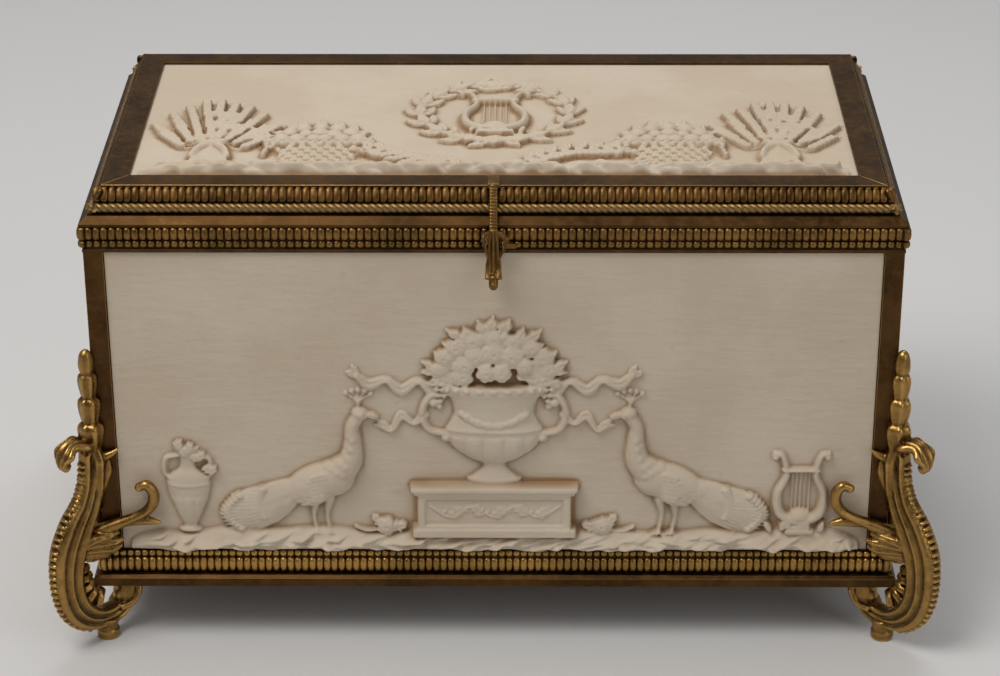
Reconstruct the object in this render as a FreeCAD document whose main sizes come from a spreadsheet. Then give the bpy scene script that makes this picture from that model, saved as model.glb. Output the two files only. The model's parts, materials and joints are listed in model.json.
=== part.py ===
import FreeCAD, Part
import math
import os

import Sketcher

# Jewelry casket: a gilt-brass frame holding bisque panels, a hinged lid, a hasp with a sliding bolt
# and four scroll feet. Millimetres, +Z up, front towards -Y, origin on the table under the middle.

DRIVING_SIZES = [
    # Case
    ("rim_width", 330.0),
    ("rim_depth", 164.0),
    ("base_height", 26.5),
    ("plate_thickness", 5.0),
    ("plate_overhang", 3.5),
    ("plate_chamfer", 1.2),
    ("board_ledge", 4.0),
    ("upstand_setback", 1.8),
    ("upstand_thickness", 9.2),
    ("upstand_height", 10.5),
    ("panel_height", 137.0),
    ("panel_thickness", 5.0),
    ("panel_recess", 1.0),
    ("panel_gap", 0.3),
    ("post_setback", 1.0),
    ("post_face", 8.0),
    ("post_size", 12.0),
    ("rim_height", 15.0),
    ("rim_rail_width", 13.0),
    ("rim_slope_width", 3.0),
    ("rim_slope_height", 2.5),
    ("rim_nose", 1.2),
    ("rim_fillet", 1.4),
    ("rim_fillet_setback", 0.8),
    # Mouldings
    ("moulding_recess", 2.2),
    ("moulding_backing", 0.7),
    ("moulding_play", 0.1),
    ("bead_row_height", 2.7),
    ("bead_row_swell", 1.2),
    ("bead_row_drop", 0.9),
    ("rim_roll_height", 5.5),
    ("rim_roll_swell", 2.3),
    ("base_roll_height", 6.8),
    ("base_roll_swell", 2.8),
    ("base_roll_rise", 0.5),
    # Lid
    ("lid_rest_gap", 0.3),
    ("lid_height", 10.7),
    ("lid_setback", 8.7),
    ("lid_border", 10.4),
    ("lid_lip", 1.2),
    ("lid_fillet", 1.2),
    ("flange_height", 4.6),
    ("flange_setback", 7.6),
    ("lid_rail_width", 9.5),
    ("ovolo_reach", 4.4),
    ("ovolo_radius", 4.2),
    ("ovolo_lip", 0.4),
    ("rope_diameter", 4.2),
    ("lid_panel_thickness", 4.0),
    ("lid_board_thickness", 3.0),
    ("lid_pad_thickness", 5.0),
    # Relief on the panels and the lid
    ("relief_root", 0.5),
    ("ground_height", 10.0),
    ("ground_reach", 4.0),
    ("ground_end", 6.0),
    ("motif_sink", 1.0),
    ("plinth_width", 64.0),
    ("plinth_height", 22.0),
    ("plinth_reach", 5.6),
    ("plinth_cap", 4.0),
    ("plinth_overhang", 3.0),
    ("vase_height", 46.0),
    ("vase_width", 44.0),
    ("vase_reach", 5.0),
    ("handle_reach", 2.4),
    ("bouquet_width", 56.0),
    ("bouquet_height", 25.0),
    ("bouquet_reach", 4.6),
    ("peacock_place", 73.0),
    ("peacock_height", 57.0),
    ("peacock_reach", 4.6),
    ("train_reach", 2.8),
    ("leg_width", 2.2),
    ("leg_spacing", 5.5),
    ("leg_reach", 2.0),
    ("end_motif_inset", 28.7),
    ("end_motif_height", 40.0),
    ("end_motif_reach", 3.4),
    ("side_wreath_level", 70.0),
    ("side_wreath_radius", 25.0),
    ("side_lyre_height", 38.0),
    ("side_lyre_drop", 20.0),
    ("wreath_band", 14.0),
    ("wreath_reach", 2.4),
    ("lyre_reach", 3.0),
    ("spray_width", 13.0),
    ("spray_stem", 2.0),
    ("spray_point", 8.0),
    ("spray_reach", 2.2),
    ("side_spray_place", 14.0),
    ("side_spray_length", 46.0),
    ("side_spray_tilt", 37.0),
    ("festoon_level", 104.0),
    ("festoon_end", 29.7),
    ("festoon_sag", 30.0),
    ("festoon_thickness", 9.5),
    ("festoon_reach", 2.6),
    ("lid_ground_depth", 9.0),
    ("lid_ground_reach", 3.4),
    ("lid_wreath_radius", 31.0),
    ("lid_wreath_offset", 4.0),
    ("lid_lyre_height", 52.0),
    ("lid_lyre_drop", 27.0),
    ("lid_lyre_reach", 5.0),
    ("lid_wreath_reach", 3.2),
    ("lid_spray_place", 8.0),
    ("lid_spray_length", 53.0),
    ("lid_spray_tilt", 21.0),
    ("basket_place", 72.0),
    ("basket_width", 40.0),
    ("basket_foot", 28.0),
    ("basket_height", 24.0),
    ("fruit_height", 19.0),
    ("sheaf_end", 4.9),
    ("sheaf_width", 50.0),
    ("sheaf_foot", 20.0),
    ("sheaf_waist", 8.0),
    ("sheaf_tie", 24.0),
    ("sheaf_shoulder", 50.0),
    ("sheaf_dome", 21.0),
    ("lid_motif_reach", 3.8),
    # Lining
    ("lining_gap", 0.2),
    ("bottom_board_thickness", 4.0),
    ("floor_pad_thickness", 8.0),
    ("pad_edge_round", 2.5),
    ("lining_edge_round", 1.5),
    # Hinges
    ("hinge_spread", 180.0),
    ("hinge_width", 24.0),
    ("hinge_setback", 1.0),
    ("hinge_barrel_radius", 1.7),
    ("hinge_pin_radius", 0.8),
    ("hinge_pin_play", 0.04),
    ("hinge_play", 0.2),
    ("middle_knuckle", 8.0),
    ("leaf_thickness", 1.0),
    ("case_leaf_reach", 11.0),
    ("lid_leaf_reach", 14.5),
    ("hinge_screw_spacing", 14.0),
    ("hinge_screw_radius", 0.7),
    ("hinge_screw_head_radius", 1.4),
    ("hinge_screw_length", 4.0),
    ("screw_play", 0.05),
    # Hasp and bolt
    ("hasp_barrel_radius", 1.25),
    ("hasp_pin_radius", 0.55),
    ("hasp_pin_play", 0.04),
    ("hasp_axis_rise", 0.4),
    ("hasp_play", 0.25),
    ("hasp_knuckle", 2.0),
    ("bracket_width", 4.6),
    ("bracket_length", 8.5),
    ("bracket_thickness", 0.9),
    ("strap_width", 3.4),
    ("hasp_thickness", 1.5),
    ("hasp_clearance", 0.6),
    ("hasp_leaf_width", 9.6),
    ("hasp_leaf_waist", 6.0),
    ("hasp_drop", 25.0),
    ("hasp_tip_reach", 7.6),
    ("hasp_tip_width", 2.4),
    ("hasp_gap", 4.0),
    ("tongue_thickness", 1.4),
    ("tongue_height", 3.8),
    ("tongue_slot_play", 0.4),
    ("tongue_wall", 0.55),
    ("bolt_radius", 0.6),
    ("bolt_play", 0.04),
    ("bolt_eye_play", 0.15),
    ("bolt_inset", 3.0),
    ("bolt_travel", 2.4),
    ("bolt_tab_width", 5.6),
    ("bolt_tab_height", 2.1),
    ("bolt_tab_reach", 1.0),
    ("bolt_tail", 4.5),
    ("bolt_window_play", 0.3),
    # Feet
    ("foot_reach", 26.8),
    ("foot_reach_height", 39.5),
    ("foot_shoulder_reach", 20.5),
    ("foot_shoulder_height", 60.5),
    ("foot_waist_reach", 13.6),
    ("foot_waist_height", 33.0),
    ("foot_bend_reach", 9.6),
    ("foot_bend_height", 18.7),
    ("foot_tuck_height", 58.0),
    ("foot_stem_depth", 8.3),
    ("foot_stem_height", 92.0),
    ("foot_heel", 15.6),
    ("foot_heel_height", 17.6),
    ("foot_sole", 6.5),
    ("foot_hollow", 14.2),
    ("foot_width", 8.0),
    ("toe_radius", 4.8),
    ("toe_offset", 0.8),
    ("toe_height", 9.0),
    ("foot_block", 11.0),
    ("curl_radius", 3.4),
    ("curl_reach", 17.0),
    ("curl_height", 96.0),
    ("finial_offset", 2.4),
    ("finial_height", 45.0),
    ("finial_radius", 4.7),
    ("finial_top_radius", 2.5),
    ("arm_radius", 2.0),
    ("arm_standoff", 3.2),
    ("arm_length", 20.2),
    ("arm_start_height", 53.0),
    ("arm_rise", 11.0),
    ("arm_hook", 11.0),
    ("foot_screw_radius", 1.4),
    ("foot_screw_head_radius", 2.6),
    ("foot_screw_head_height", 2.4),
    ("foot_screw_seat_height", 14.5),
    ("foot_screw_bite", 7.5),
    ("foot_overlap", 2.0),
    ("foot_neck_sag", 1.0),
    ("foot_sole_sag", 1.5),
    ("curl_lean", 1.0),
    # Room that a cut leaves past a face, and at the blind end of a hole
    ("cut_margin", 1.0),
    ("end_play", 0.1),
    ("screw_end_play", 0.3),
]
FESTOONS = 3
FESTOON_STEPS = 6
HUSKS_PER_FINIAL = 4
HUSK_NECK_SHARE = 0.6
MITRED_TURNS = 1
FOOT_TURN = 225
OUTWARD_X = FreeCAD.Vector(1, 0, 0)
UP = FreeCAD.Vector(0, 0, 1)

doc = FreeCAD.newDocument("jewelry_casket")
sheet = doc.addObject("Spreadsheet::Sheet", "Sizes")


class Length:
    """A size that knows its number and the sheet formula that gives it."""

    def __init__(self, value, formula):
        self.value = value
        self.formula = formula

    def combined(self, other, symbol, value):
        return Length(value, f"({self.formula} {symbol} {other.formula})")

    def __add__(self, other):
        other = as_length(other)
        return self.combined(other, "+", self.value + other.value)

    def __sub__(self, other):
        other = as_length(other)
        return self.combined(other, "-", self.value - other.value)

    def __rsub__(self, other):
        return as_length(other) - self

    def __mul__(self, other):
        other = as_length(other)
        return self.combined(other, "*", self.value * other.value)

    def __truediv__(self, other):
        other = as_length(other)
        return self.combined(other, "/", self.value / other.value)

    def __neg__(self):
        return as_length(0) - self

    __radd__ = __add__
    __rmul__ = __mul__


def as_length(number):
    if isinstance(number, Length):
        return number
    return Length(float(number), repr(float(number)))


class SizeBook:
    """The driving sizes by name."""


size = SizeBook()
for row, (alias, value) in enumerate(DRIVING_SIZES, start=1):
    sheet.set(f"A{row}", alias)
    sheet.set(f"B{row}", str(value))
    sheet.setAlias(f"B{row}", alias)
    setattr(size, alias, Length(value, f"Sizes.{alias}"))
doc.recompute()

# Levels above the table
plate_top = size.base_height + size.plate_thickness
case_floor = plate_top + size.upstand_height
rim_bottom = case_floor + size.panel_height
rim_top = rim_bottom + size.rim_height
rim_edge = rim_top - size.rim_slope_height
lid_bottom = rim_top + size.lid_rest_gap
lid_top = lid_bottom + size.lid_height

# Insets from the vertical planes through the rim's outer edge
panel_inset = size.post_setback + size.panel_recess
panel_back_inset = panel_inset + size.panel_thickness
post_inner_inset = size.post_setback + size.post_size
lid_wall_inset = size.flange_setback + size.lid_rail_width
ovolo_seat = size.lid_setback + size.lid_fillet
rope_inset = size.flange_setback - size.rope_diameter / 2

half_width = size.rim_width / 2
half_depth = size.rim_depth / 2

# Each side's turn about Z, the length of its rim edge and the place of the middle of that edge
SIDES = {
    "front": (0, size.rim_width, (as_length(0), -half_depth)),
    "right": (90, size.rim_depth, (half_width, as_length(0))),
    "back": (180, size.rim_width, (as_length(0), half_depth)),
    "left": (270, size.rim_depth, (-half_width, as_length(0))),
}
CORNERS = {
    "front_left": (0, -1, -1),
    "front_right": (90, 1, -1),
    "back_right": (180, 1, 1),
    "back_left": (270, -1, 1),
}

sub_parts = []


# Helpers

def bind(target, prop, length):
    target.setExpression(prop, as_length(length).formula)


def place(target, x, y, z, turn=0.0, axis=(0, 0, 1)):
    """Turn an object about an axis and bind its place to the sheet."""
    spot = [as_length(number) for number in (x, y, z)]
    base = FreeCAD.Vector(*[length.value for length in spot])
    target.Placement = FreeCAD.Placement(base, FreeCAD.Rotation(FreeCAD.Vector(*axis), turn))
    for letter, length in zip("xyz", spot):
        bind(target, f"Placement.Base.{letter}", length)


def add_loop(sketch, loop):
    """A closed counter-clockwise outline; a point with a third value starts an arc of that radius."""
    points = []
    for entry in loop:
        points.append((as_length(entry[0]), as_length(entry[1])))
    first = sketch.GeometryCount
    count = len(loop)
    for index, entry in enumerate(loop):
        start = FreeCAD.Vector(points[index][0].value, points[index][1].value, 0)
        following = points[(index + 1) % count]
        end = FreeCAD.Vector(following[0].value, following[1].value, 0)
        if len(entry) == 3:
            sketch.addGeometry(bulging_arc(start, end, as_length(entry[2]).value))
        else:
            sketch.addGeometry(Part.LineSegment(start, end))
    for index, entry in enumerate(loop):
        following = first + (index + 1) % count
        sketch.addConstraint(Sketcher.Constraint("Coincident", first + index, 2, following, 1))
        for kind, length in zip(("DistanceX", "DistanceY"), points[index]):
            rule = Sketcher.Constraint(kind, -1, 1, first + index, 1, length.value)
            bind(sketch, f"Constraints[{sketch.addConstraint(rule)}]", length)
        if len(entry) == 3:
            radius = as_length(entry[2])
            rule = Sketcher.Constraint("Radius", first + index, radius.value)
            bind(sketch, f"Constraints[{sketch.addConstraint(rule)}]", radius)


def bulging_arc(start, end, radius):
    """An arc that bulges to the right of the way from start to end."""
    middle = (start + end) / 2
    chord = end - start
    left = FreeCAD.Vector(-chord.y, chord.x, 0).normalize()
    centre = middle + left * math.sqrt(radius ** 2 - (chord.Length / 2) ** 2)
    first_angle = math.atan2(start.y - centre.y, start.x - centre.x)
    last_angle = math.atan2(end.y - centre.y, end.x - centre.x)
    circle = Part.Circle(centre, FreeCAD.Vector(0, 0, 1), radius)
    return Part.ArcOfCircle(circle, first_angle, last_angle)


def swell_radius(chord, swell):
    """Radius of the arc over a chord that stands out by the swell."""
    return (chord * chord / 4 + swell * swell) / (swell * 2)


def new_body(label):
    body = doc.addObject("PartDesign::Body", label)
    body.Label = label
    return body


def add_sketch(body, name, role, loops):
    sketch = body.newObject("Sketcher::SketchObject", name)
    plane = next(feature for feature in body.Origin.OriginFeatures if feature.Role == role)
    sketch.AttachmentSupport = [(plane, "")]
    sketch.MapMode = "FlatFace"
    for loop in loops:
        add_loop(sketch, loop)
    doc.recompute()
    return sketch


def add_pad(body, sketch, length, symmetric=False):
    pad = body.newObject("PartDesign::Pad", "pad")
    pad.Profile = sketch
    if symmetric:
        pad.SideType = "Symmetric"
    bind(pad, "Length", length)
    doc.recompute()
    return pad


def cut_through(body, sketch):
    pocket = body.newObject("PartDesign::Pocket", "pocket")
    pocket.Profile = sketch
    pocket.SideType = "Symmetric"
    pocket.Type = "ThroughAll"
    doc.recompute()
    return pocket


def cut_box(body, name, low, high):
    """Cut a box out of a body, between two corners in the body's own frame."""
    box = body.newObject("PartDesign::SubtractiveBox", name)
    for prop, near, far in zip(("Length", "Width", "Height"), low, high):
        bind(box, prop, as_length(far) - near)
    place(box, *low)
    doc.recompute()
    return box


def cut_bore(body, name, start, radius, length, along_x=False):
    """Cut a round hole up from, or along X from, its start."""
    bore = body.newObject("PartDesign::SubtractiveCylinder", name)
    bind(bore, "Radius", radius)
    bind(bore, "Height", length)
    place(bore, *start, turn=90 if along_x else 0, axis=(0, 1, 0))
    doc.recompute()
    return bore


def box_object(name, low, high):
    box = doc.addObject("Part::Box", name)
    for prop, near, far in zip(("Length", "Width", "Height"), low, high):
        bind(box, prop, as_length(far) - near)
    place(box, *low)
    return box


def rod_object(name, start, radius, length, along_x=False):
    rod = doc.addObject("Part::Cylinder", name)
    bind(rod, "Radius", radius)
    bind(rod, "Height", length)
    place(rod, *start, turn=90 if along_x else 0, axis=(0, 1, 0))
    return rod


def fused(name, pieces):
    joined = doc.addObject("Part::MultiFuse", name)
    joined.Shapes = pieces
    doc.recompute()
    return joined


def cut_by(name, base, tools):
    """Base less the tools."""
    tool = tools[0]
    if len(tools) > 1:
        tool = fused(name + "_tools", tools)
    cut = doc.addObject("Part::Cut", name)
    cut.Base = base
    cut.Tool = tool
    doc.recompute()
    return cut


def finish(sub_part, label):
    sub_part.Label = label
    sub_parts.append(sub_part)
    return sub_part


def shape_object(label, shape):
    feature = doc.addObject("Part::Feature", label)
    feature.Shape = shape
    return feature


def mitred_rail(label, side, loop, reach_out, reach_in, level):
    """A rail along one side: X along it, Y inwards from the rim's edge, both ends mitred."""
    turn, run, middle = SIDES[side]
    reach_out = as_length(reach_out)
    reach_in = as_length(reach_in)
    body = new_body(label)
    add_pad(body, add_sketch(body, "section", "YZ_Plane", [loop]), run + reach_out * 2, symmetric=True)
    outer = run / 2 + reach_out
    beyond = outer + reach_in
    inner = run / 2 - reach_in
    right = [(outer, -reach_out), (beyond, -reach_out), (beyond, reach_in), (inner, reach_in)]
    left = [(-x, y) for x, y in reversed(right)]
    cut_through(body, add_sketch(body, "mitres", "XY_Plane", [right, left]))
    place(body, *middle, level, turn=turn)
    return finish(body, label)


# Base

def base_rail(side):
    ledge_end = size.upstand_setback + size.upstand_thickness + size.board_ledge
    upstand_back = size.upstand_setback + size.upstand_thickness
    thick = size.plate_thickness
    top = size.plate_thickness + size.upstand_height
    edge = -size.plate_overhang
    loop = [
        (edge, 0),
        (ledge_end, 0),
        (ledge_end, thick),
        (upstand_back, thick),
        (upstand_back, top),
        (size.upstand_setback, top),
        (size.upstand_setback, thick),
        (edge + size.plate_chamfer, thick),
        (edge, thick - size.plate_chamfer),
    ]
    rail = mitred_rail(f"base_{side}_rail", side, loop, size.plate_overhang, ledge_end, size.base_height)
    run = SIDES[side][1]
    inset = foot_screw_inset()
    for name, end in (("left_screw", -1), ("right_screw", 1)):
        spot = ((run / 2 - inset) * end, inset, 0)
        radius = size.foot_screw_radius + size.screw_play
        cut_bore(rail, name, spot, radius, size.foot_screw_bite + size.screw_end_play)
    return rail


def foot_screw_inset():
    """Inset, from both rim planes, of the screw that holds a foot."""
    return size.post_setback + (size.foot_heel - size.foot_block / 2) / math.sqrt(2)


def base_moulding(side):
    """A reeded roll on the plate with a bead row above it."""
    seat = size.upstand_setback
    face = seat - size.moulding_backing
    foot = size.plate_thickness + size.moulding_play
    roll_low = foot + size.base_roll_rise
    roll_high = roll_low + size.base_roll_height
    top = size.plate_thickness + size.upstand_height
    bead_low = top - size.bead_row_height
    loop = [
        (face, foot),
        (seat, foot),
        (seat, top),
        (face, top, swell_radius(size.bead_row_height, size.bead_row_swell)),
        (face, bead_low),
        (face, roll_high, swell_radius(size.base_roll_height, size.base_roll_swell)),
        (face, roll_low),
    ]
    reach_out = size.base_roll_swell - face
    return mitred_rail(f"base_{side}_moulding", side, loop, reach_out, seat, size.base_height)


def bottom_board():
    inset = size.upstand_setback + size.upstand_thickness + size.lining_gap
    reach = (half_width - inset, half_depth - inset)
    low = (-reach[0], -reach[1], plate_top)
    high = (reach[0], reach[1], plate_top + size.bottom_board_thickness)
    return finish(box_object("bottom_board", low, high), "bottom_board")


def floor_pad():
    inset = post_inner_inset + size.lining_gap
    level = plate_top + size.bottom_board_thickness
    return rounded_pad("floor_pad", inset, level, level + size.floor_pad_thickness, upward=True)


def rounded_pad(label, inset, low, high, upward):
    """A cushion with rounded edges on its open side."""
    across = half_width - inset
    deep = half_depth - inset
    body = new_body(label)
    outline = [(-across, -deep), (across, -deep), (across, deep), (-across, deep)]
    pad = add_pad(body, add_sketch(body, "outline", "XY_Plane", [outline]), high - low)
    fillet = body.newObject("PartDesign::Fillet", "soft_edge")
    open_level = pad.Shape.BoundBox.ZMax if upward else pad.Shape.BoundBox.ZMin
    edges = []
    for number, edge in enumerate(pad.Shape.Edges, start=1):
        if abs(edge.CenterOfMass.z - open_level) < 1e-6:
            edges.append(f"Edge{number}")
    fillet.Base = (pad, edges)
    bind(fillet, "Radius", size.pad_edge_round)
    place(body, 0, 0, low)
    doc.recompute()
    return finish(body, label)


# Walls

def corner_post(corner):
    """An L-shaped post that holds the edges of two panels."""
    turn, x_sign, y_sign = CORNERS[corner]
    deep = size.post_size
    face = size.post_face
    slot = size.panel_recess + size.panel_thickness
    loop = [
        (0, 0),
        (face, 0),
        (face, slot),
        (deep, slot),
        (deep, deep),
        (slot, deep),
        (slot, face),
        (0, face),
    ]
    label = f"{corner}_post"
    body = new_body(label)
    add_pad(body, add_sketch(body, "section", "XY_Plane", [loop]), size.panel_height)
    corner_x = (half_width - size.post_setback) * x_sign
    corner_y = (half_depth - size.post_setback) * y_sign
    place(body, corner_x, corner_y, case_floor, turn=turn)
    return finish(body, label)


def wall_panel(side):
    turn, run, middle = SIDES[side]
    reach = run / 2 - size.post_setback - size.post_face - size.panel_gap
    label = f"{side}_panel"
    body = new_body(label)
    front = panel_inset
    back = panel_back_inset
    outline = [(-reach, front), (reach, front), (reach, back), (-reach, back)]
    add_pad(body, add_sketch(body, "outline", "XY_Plane", [outline]), size.panel_height)
    ground = upright(reach - size.ground_end, 0, size.ground_height)
    raise_on_wall(body, "ground", [ground], size.ground_reach)
    if side == "front":
        add_front_relief(body, reach)
    elif side == "back":
        add_back_relief(body, reach)
    else:
        add_side_relief(body)
    place(body, *middle, case_floor, turn=turn)
    return finish(body, label)


def raise_relief(body, name, role, face, loops, height):
    """Raise outlines from a panel's face, rooted in the panel; the face lies along the plane's normal."""
    sketch = add_sketch(body, name, role, loops)
    bind(sketch, "AttachmentOffset.Base.z", face - size.relief_root)
    add_pad(body, sketch, height + size.relief_root)


def raise_on_wall(body, name, loops, height):
    raise_relief(body, name, "XZ_Plane", -panel_inset, loops, height)


def raise_on_lid(body, name, loops, height):
    raise_relief(body, name, "XY_Plane", size.lid_panel_thickness, loops, height)


def both_sides(right):
    """A closed outline, alike on both sides, from its right half listed upwards."""
    left = []
    for index in reversed(range(len(right))):
        radius = right[index - 1][2:] if index else ()
        left.append((-right[index][0], right[index][1], *radius))
    return [*right, *left]


def mirrored(loop):
    """An outline as seen in a mirror, still counter-clockwise."""
    return [(-loop[index][0], loop[index][1], *loop[index - 1][2:]) for index in reversed(range(len(loop)))]


def moved(loop, across, up):
    return [(x + across, z + up, *radius) for x, z, *radius in loop]


def scaled(tall, shares):
    return [tuple(tall * share for share in point) for point in shares]


def upright(half, low, high):
    return both_sides([(half, low), (half, high)])


def ring(level, radius, band):
    """The outer and inner circles of a flat ring, each as four arcs."""
    circles = []
    for reach in (radius + band / 2, radius - band / 2):
        circles.append([(reach, level, reach), (0, level + reach, reach), (-reach, level, reach),
                        (0, level - reach, reach)])
    return circles


def add_front_relief(body, panel_reach):
    """The relief's main masses: plinth, vase and bouquet between peacocks, an amphora and a lyre."""
    ground = size.ground_height
    plinth_top = ground + size.plinth_height
    cap_low = plinth_top - size.plinth_cap
    plinth_half = size.plinth_width / 2
    raise_on_wall(body, "plinth", [upright(plinth_half, 0, cap_low)], size.plinth_reach)
    cap_reach = size.plinth_reach + size.plinth_overhang / 3
    cap_half = plinth_half + size.plinth_overhang
    raise_on_wall(body, "plinth_cap", [upright(cap_half, cap_low, plinth_top)], cap_reach)
    raise_on_wall(body, "vase", [moved(vase_outline(), 0, plinth_top)], size.vase_reach)
    handles = []
    for loop in vase_handle():
        handle = moved(loop, 0, plinth_top)
        handles += [handle, mirrored(handle)]
    raise_on_wall(body, "vase_handles", handles, size.handle_reach)
    rim = plinth_top + size.vase_height
    dome = swell_radius(size.bouquet_width, size.bouquet_height)
    bouquet = both_sides([(size.bouquet_width / 2, rim, dome)])
    raise_on_wall(body, "bouquet", [bouquet], size.bouquet_reach)
    add_peacocks(body, ground)
    end_at = panel_reach - size.end_motif_inset
    foot = ground - size.motif_sink
    raise_on_wall(body, "amphora", [moved(amphora_outline(), -end_at, foot)], size.end_motif_reach)
    lyre = [moved(loop, end_at, foot) for loop in lyre_outline(size.end_motif_height)]
    raise_on_wall(body, "lyre", lyre, size.end_motif_reach)


def vase_outline():
    """A footed krater: foot, stem, round bowl, waist and flared rim."""
    tall = size.vase_height
    half = size.vase_width / 2
    stem = half * 0.24
    bowl = half * 0.92
    return both_sides([
        (half * 0.52, 0),
        (half * 0.52, tall * 0.07),
        (stem, tall * 0.16),
        (stem, tall * 0.22, (bowl - stem) * 1.2),
        (bowl, tall * 0.55),
        (half * 0.74, tall * 0.72),
        (half, tall * 0.94),
        (half, tall),
    ])


def vase_handle():
    """The vase's right handle: its outline and the opening in it."""
    tall = size.vase_height
    half = size.vase_width / 2
    outline = [(0.7, 0.48), (1.25, 0.48), (1.42, 0.72), (1.25, 0.95), (0.9, 0.95)]
    opening = [(0.98, 0.58), (1.18, 0.6), (1.26, 0.72), (1.16, 0.84), (1.02, 0.84)]
    loops = []
    for shares in (outline, opening):
        loops.append([(half * across, tall * up) for across, up in shares])
    return loops


def add_peacocks(body, ground):
    """Two standing birds that face the vase, each with a folded train."""
    tall = size.peacock_height
    train = scaled(tall, [(-0.65, -0.02), (-0.11, 0.26), (-0.11, 0.44), (-0.65, 0.29, 0.18)])
    bird = scaled(tall, [
        (-0.24, 0.27, 0.42),
        (0.28, 0.42),
        (0.33, 0.58),
        (0.31, 0.87),
        (0.46, 0.92),
        (0.37, 0.985, 0.07),
        (0.25, 0.965),
        (0.195, 0.72),
        (0.145, 0.59, 0.5),
        (-0.265, 0.335),
    ])
    leg = upright(size.leg_width / 2, -size.motif_sink, tall * 0.27)
    legs = [moved(leg, size.leg_spacing * step - size.leg_width / 2, 0) for step in (0, 1)]
    forms = (
        ("trains", [train], size.train_reach),
        ("birds", [bird], size.peacock_reach),
        ("legs", legs, size.leg_reach),
    )
    for name, outlines, reach in forms:
        left = [moved(outline, -size.peacock_place, ground) for outline in outlines]
        raise_on_wall(body, name, left + [mirrored(outline) for outline in left], reach)


def amphora_outline():
    side = [(0.12, 0), (0.07, 0.07), (0.2, 0.4), (0.23, 0.58), (0.09, 0.76), (0.09, 0.9), (0.13, 0.95), (0.13, 1)]
    return both_sides(scaled(size.end_motif_height, side))


def lyre_outline(tall):
    """A lyre's frame on its foot, and the opening that the strings cross."""
    frame = [(0.15, 0), (0.15, 0.08), (0.24, 0.22), (0.28, 0.45), (0.2, 0.68), (0.23, 0.86), (0.3, 0.95),
             (0.2, 0.95), (0.15, 0.78)]
    opening = [(0.14, 0.32), (0.19, 0.46), (0.16, 0.7)]
    return [both_sides(scaled(tall, frame)), both_sides(scaled(tall, opening))]


def add_side_relief(body):
    """A wreath round a lyre."""
    level = size.side_wreath_level
    wreath = ring(level, size.side_wreath_radius, size.wreath_band)
    raise_on_wall(body, "wreath", wreath, size.wreath_reach)
    lyre = [moved(loop, 0, level - size.side_lyre_drop) for loop in lyre_outline(size.side_lyre_height)]
    raise_on_wall(body, "lyre", lyre, size.lyre_reach)
    spray = spray_outline(size.side_spray_length, size.side_spray_tilt)
    right = moved(spray, size.side_spray_place, size.ground_height)
    raise_on_wall(body, "sprays", [right, mirrored(right)], size.spray_reach)


def spray_outline(length, tilt):
    """A leafy spray that leans by the tilt in degrees, from the foot of its stem."""
    half = size.spray_width / 2
    stem = size.spray_stem / 2
    lower = [(0, -stem), (size.spray_point, -half), (length - size.spray_point, -half), (length, 0)]
    upper = [(x, -z) for x, z in reversed(lower[:-1])]
    cosine = math.cos(math.radians(tilt.value))
    sine = math.sin(math.radians(tilt.value))
    return [(x * cosine - z * sine, x * sine + z * cosine) for x, z in lower + upper]


def add_back_relief(body, panel_reach):
    """A row of festoons."""
    span = (panel_reach - size.festoon_end) * 2 / FESTOONS
    festoons = []
    for number in range(FESTOONS):
        middle = span * (number - (FESTOONS - 1) / 2)
        festoons.append(moved(festoon_outline(span), middle, size.festoon_level))
    raise_on_wall(body, "festoons", festoons, size.festoon_reach)


def festoon_outline(span):
    """A hanging garland that is fullest at its lowest point."""
    lower = []
    upper = []
    for step in range(FESTOON_STEPS + 1):
        share = step / FESTOON_STEPS
        across = span * (share - 0.5)
        sag = size.festoon_sag * (4 * share * (1 - share))
        half = size.festoon_thickness * (0.3 + 0.35 * math.sin(math.pi * share))
        lower.append((across * 0.96, -sag - half))
        upper.append((across * 0.96, half - sag))
    return lower + upper[::-1]


def wall_lining(side):
    """A padded liner behind a panel, between the posts."""
    turn, run, middle = SIDES[side]
    reach = run / 2 - post_inner_inset - size.lining_gap
    near = panel_back_inset + size.lining_gap
    far = post_inner_inset
    label = f"{side}_lining"
    body = new_body(label)
    outline = [
        (-reach, near),
        (reach, near),
        (reach, far - size.lining_edge_round, size.lining_edge_round),
        (reach - size.lining_edge_round, far),
        (-reach + size.lining_edge_round, far, size.lining_edge_round),
        (-reach, far - size.lining_edge_round),
    ]
    add_pad(body, add_sketch(body, "outline", "XY_Plane", [outline]), size.panel_height - size.lining_gap)
    place(body, *middle, case_floor, turn=turn)
    return finish(body, label)


# Rim

def rim_rail(side):
    wide = size.rim_rail_width
    top = size.rim_height
    edge = top - size.rim_slope_height
    nose = edge - size.rim_nose
    loop = [
        (size.rim_fillet_setback, 0),
        (wide, 0),
        (wide, top),
        (size.rim_slope_width, top),
        (0, edge),
        (0, nose),
        (size.moulding_recess, nose),
        (size.moulding_recess, size.rim_fillet),
        (size.rim_fillet_setback, size.rim_fillet),
    ]
    rail = mitred_rail(f"rim_{side}_rail", side, loop, 0, wide, rim_bottom)
    if side == "front":
        cut_lock(rail)
    if side == "back":
        cut_hinge_seats(rail)
    return rail


bolt_level = size.rim_fillet + size.moulding_play + size.bead_row_drop + size.bead_row_height / 2
bolt_tab_start = size.hasp_gap / 2 + size.bolt_travel * 0.6
bolt_tab_end = bolt_tab_start + size.bolt_tab_width
bolt_tip = size.tongue_thickness / 2 + size.tongue_slot_play + size.end_play
bolt_window_end = bolt_tab_end + size.bolt_window_play
bolt_tail_end = bolt_window_end + size.bolt_tail
tongue_slot_half = size.tongue_thickness / 2 + size.tongue_slot_play
tongue_end = size.bolt_inset + size.bolt_radius + size.bolt_eye_play + size.tongue_wall


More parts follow.
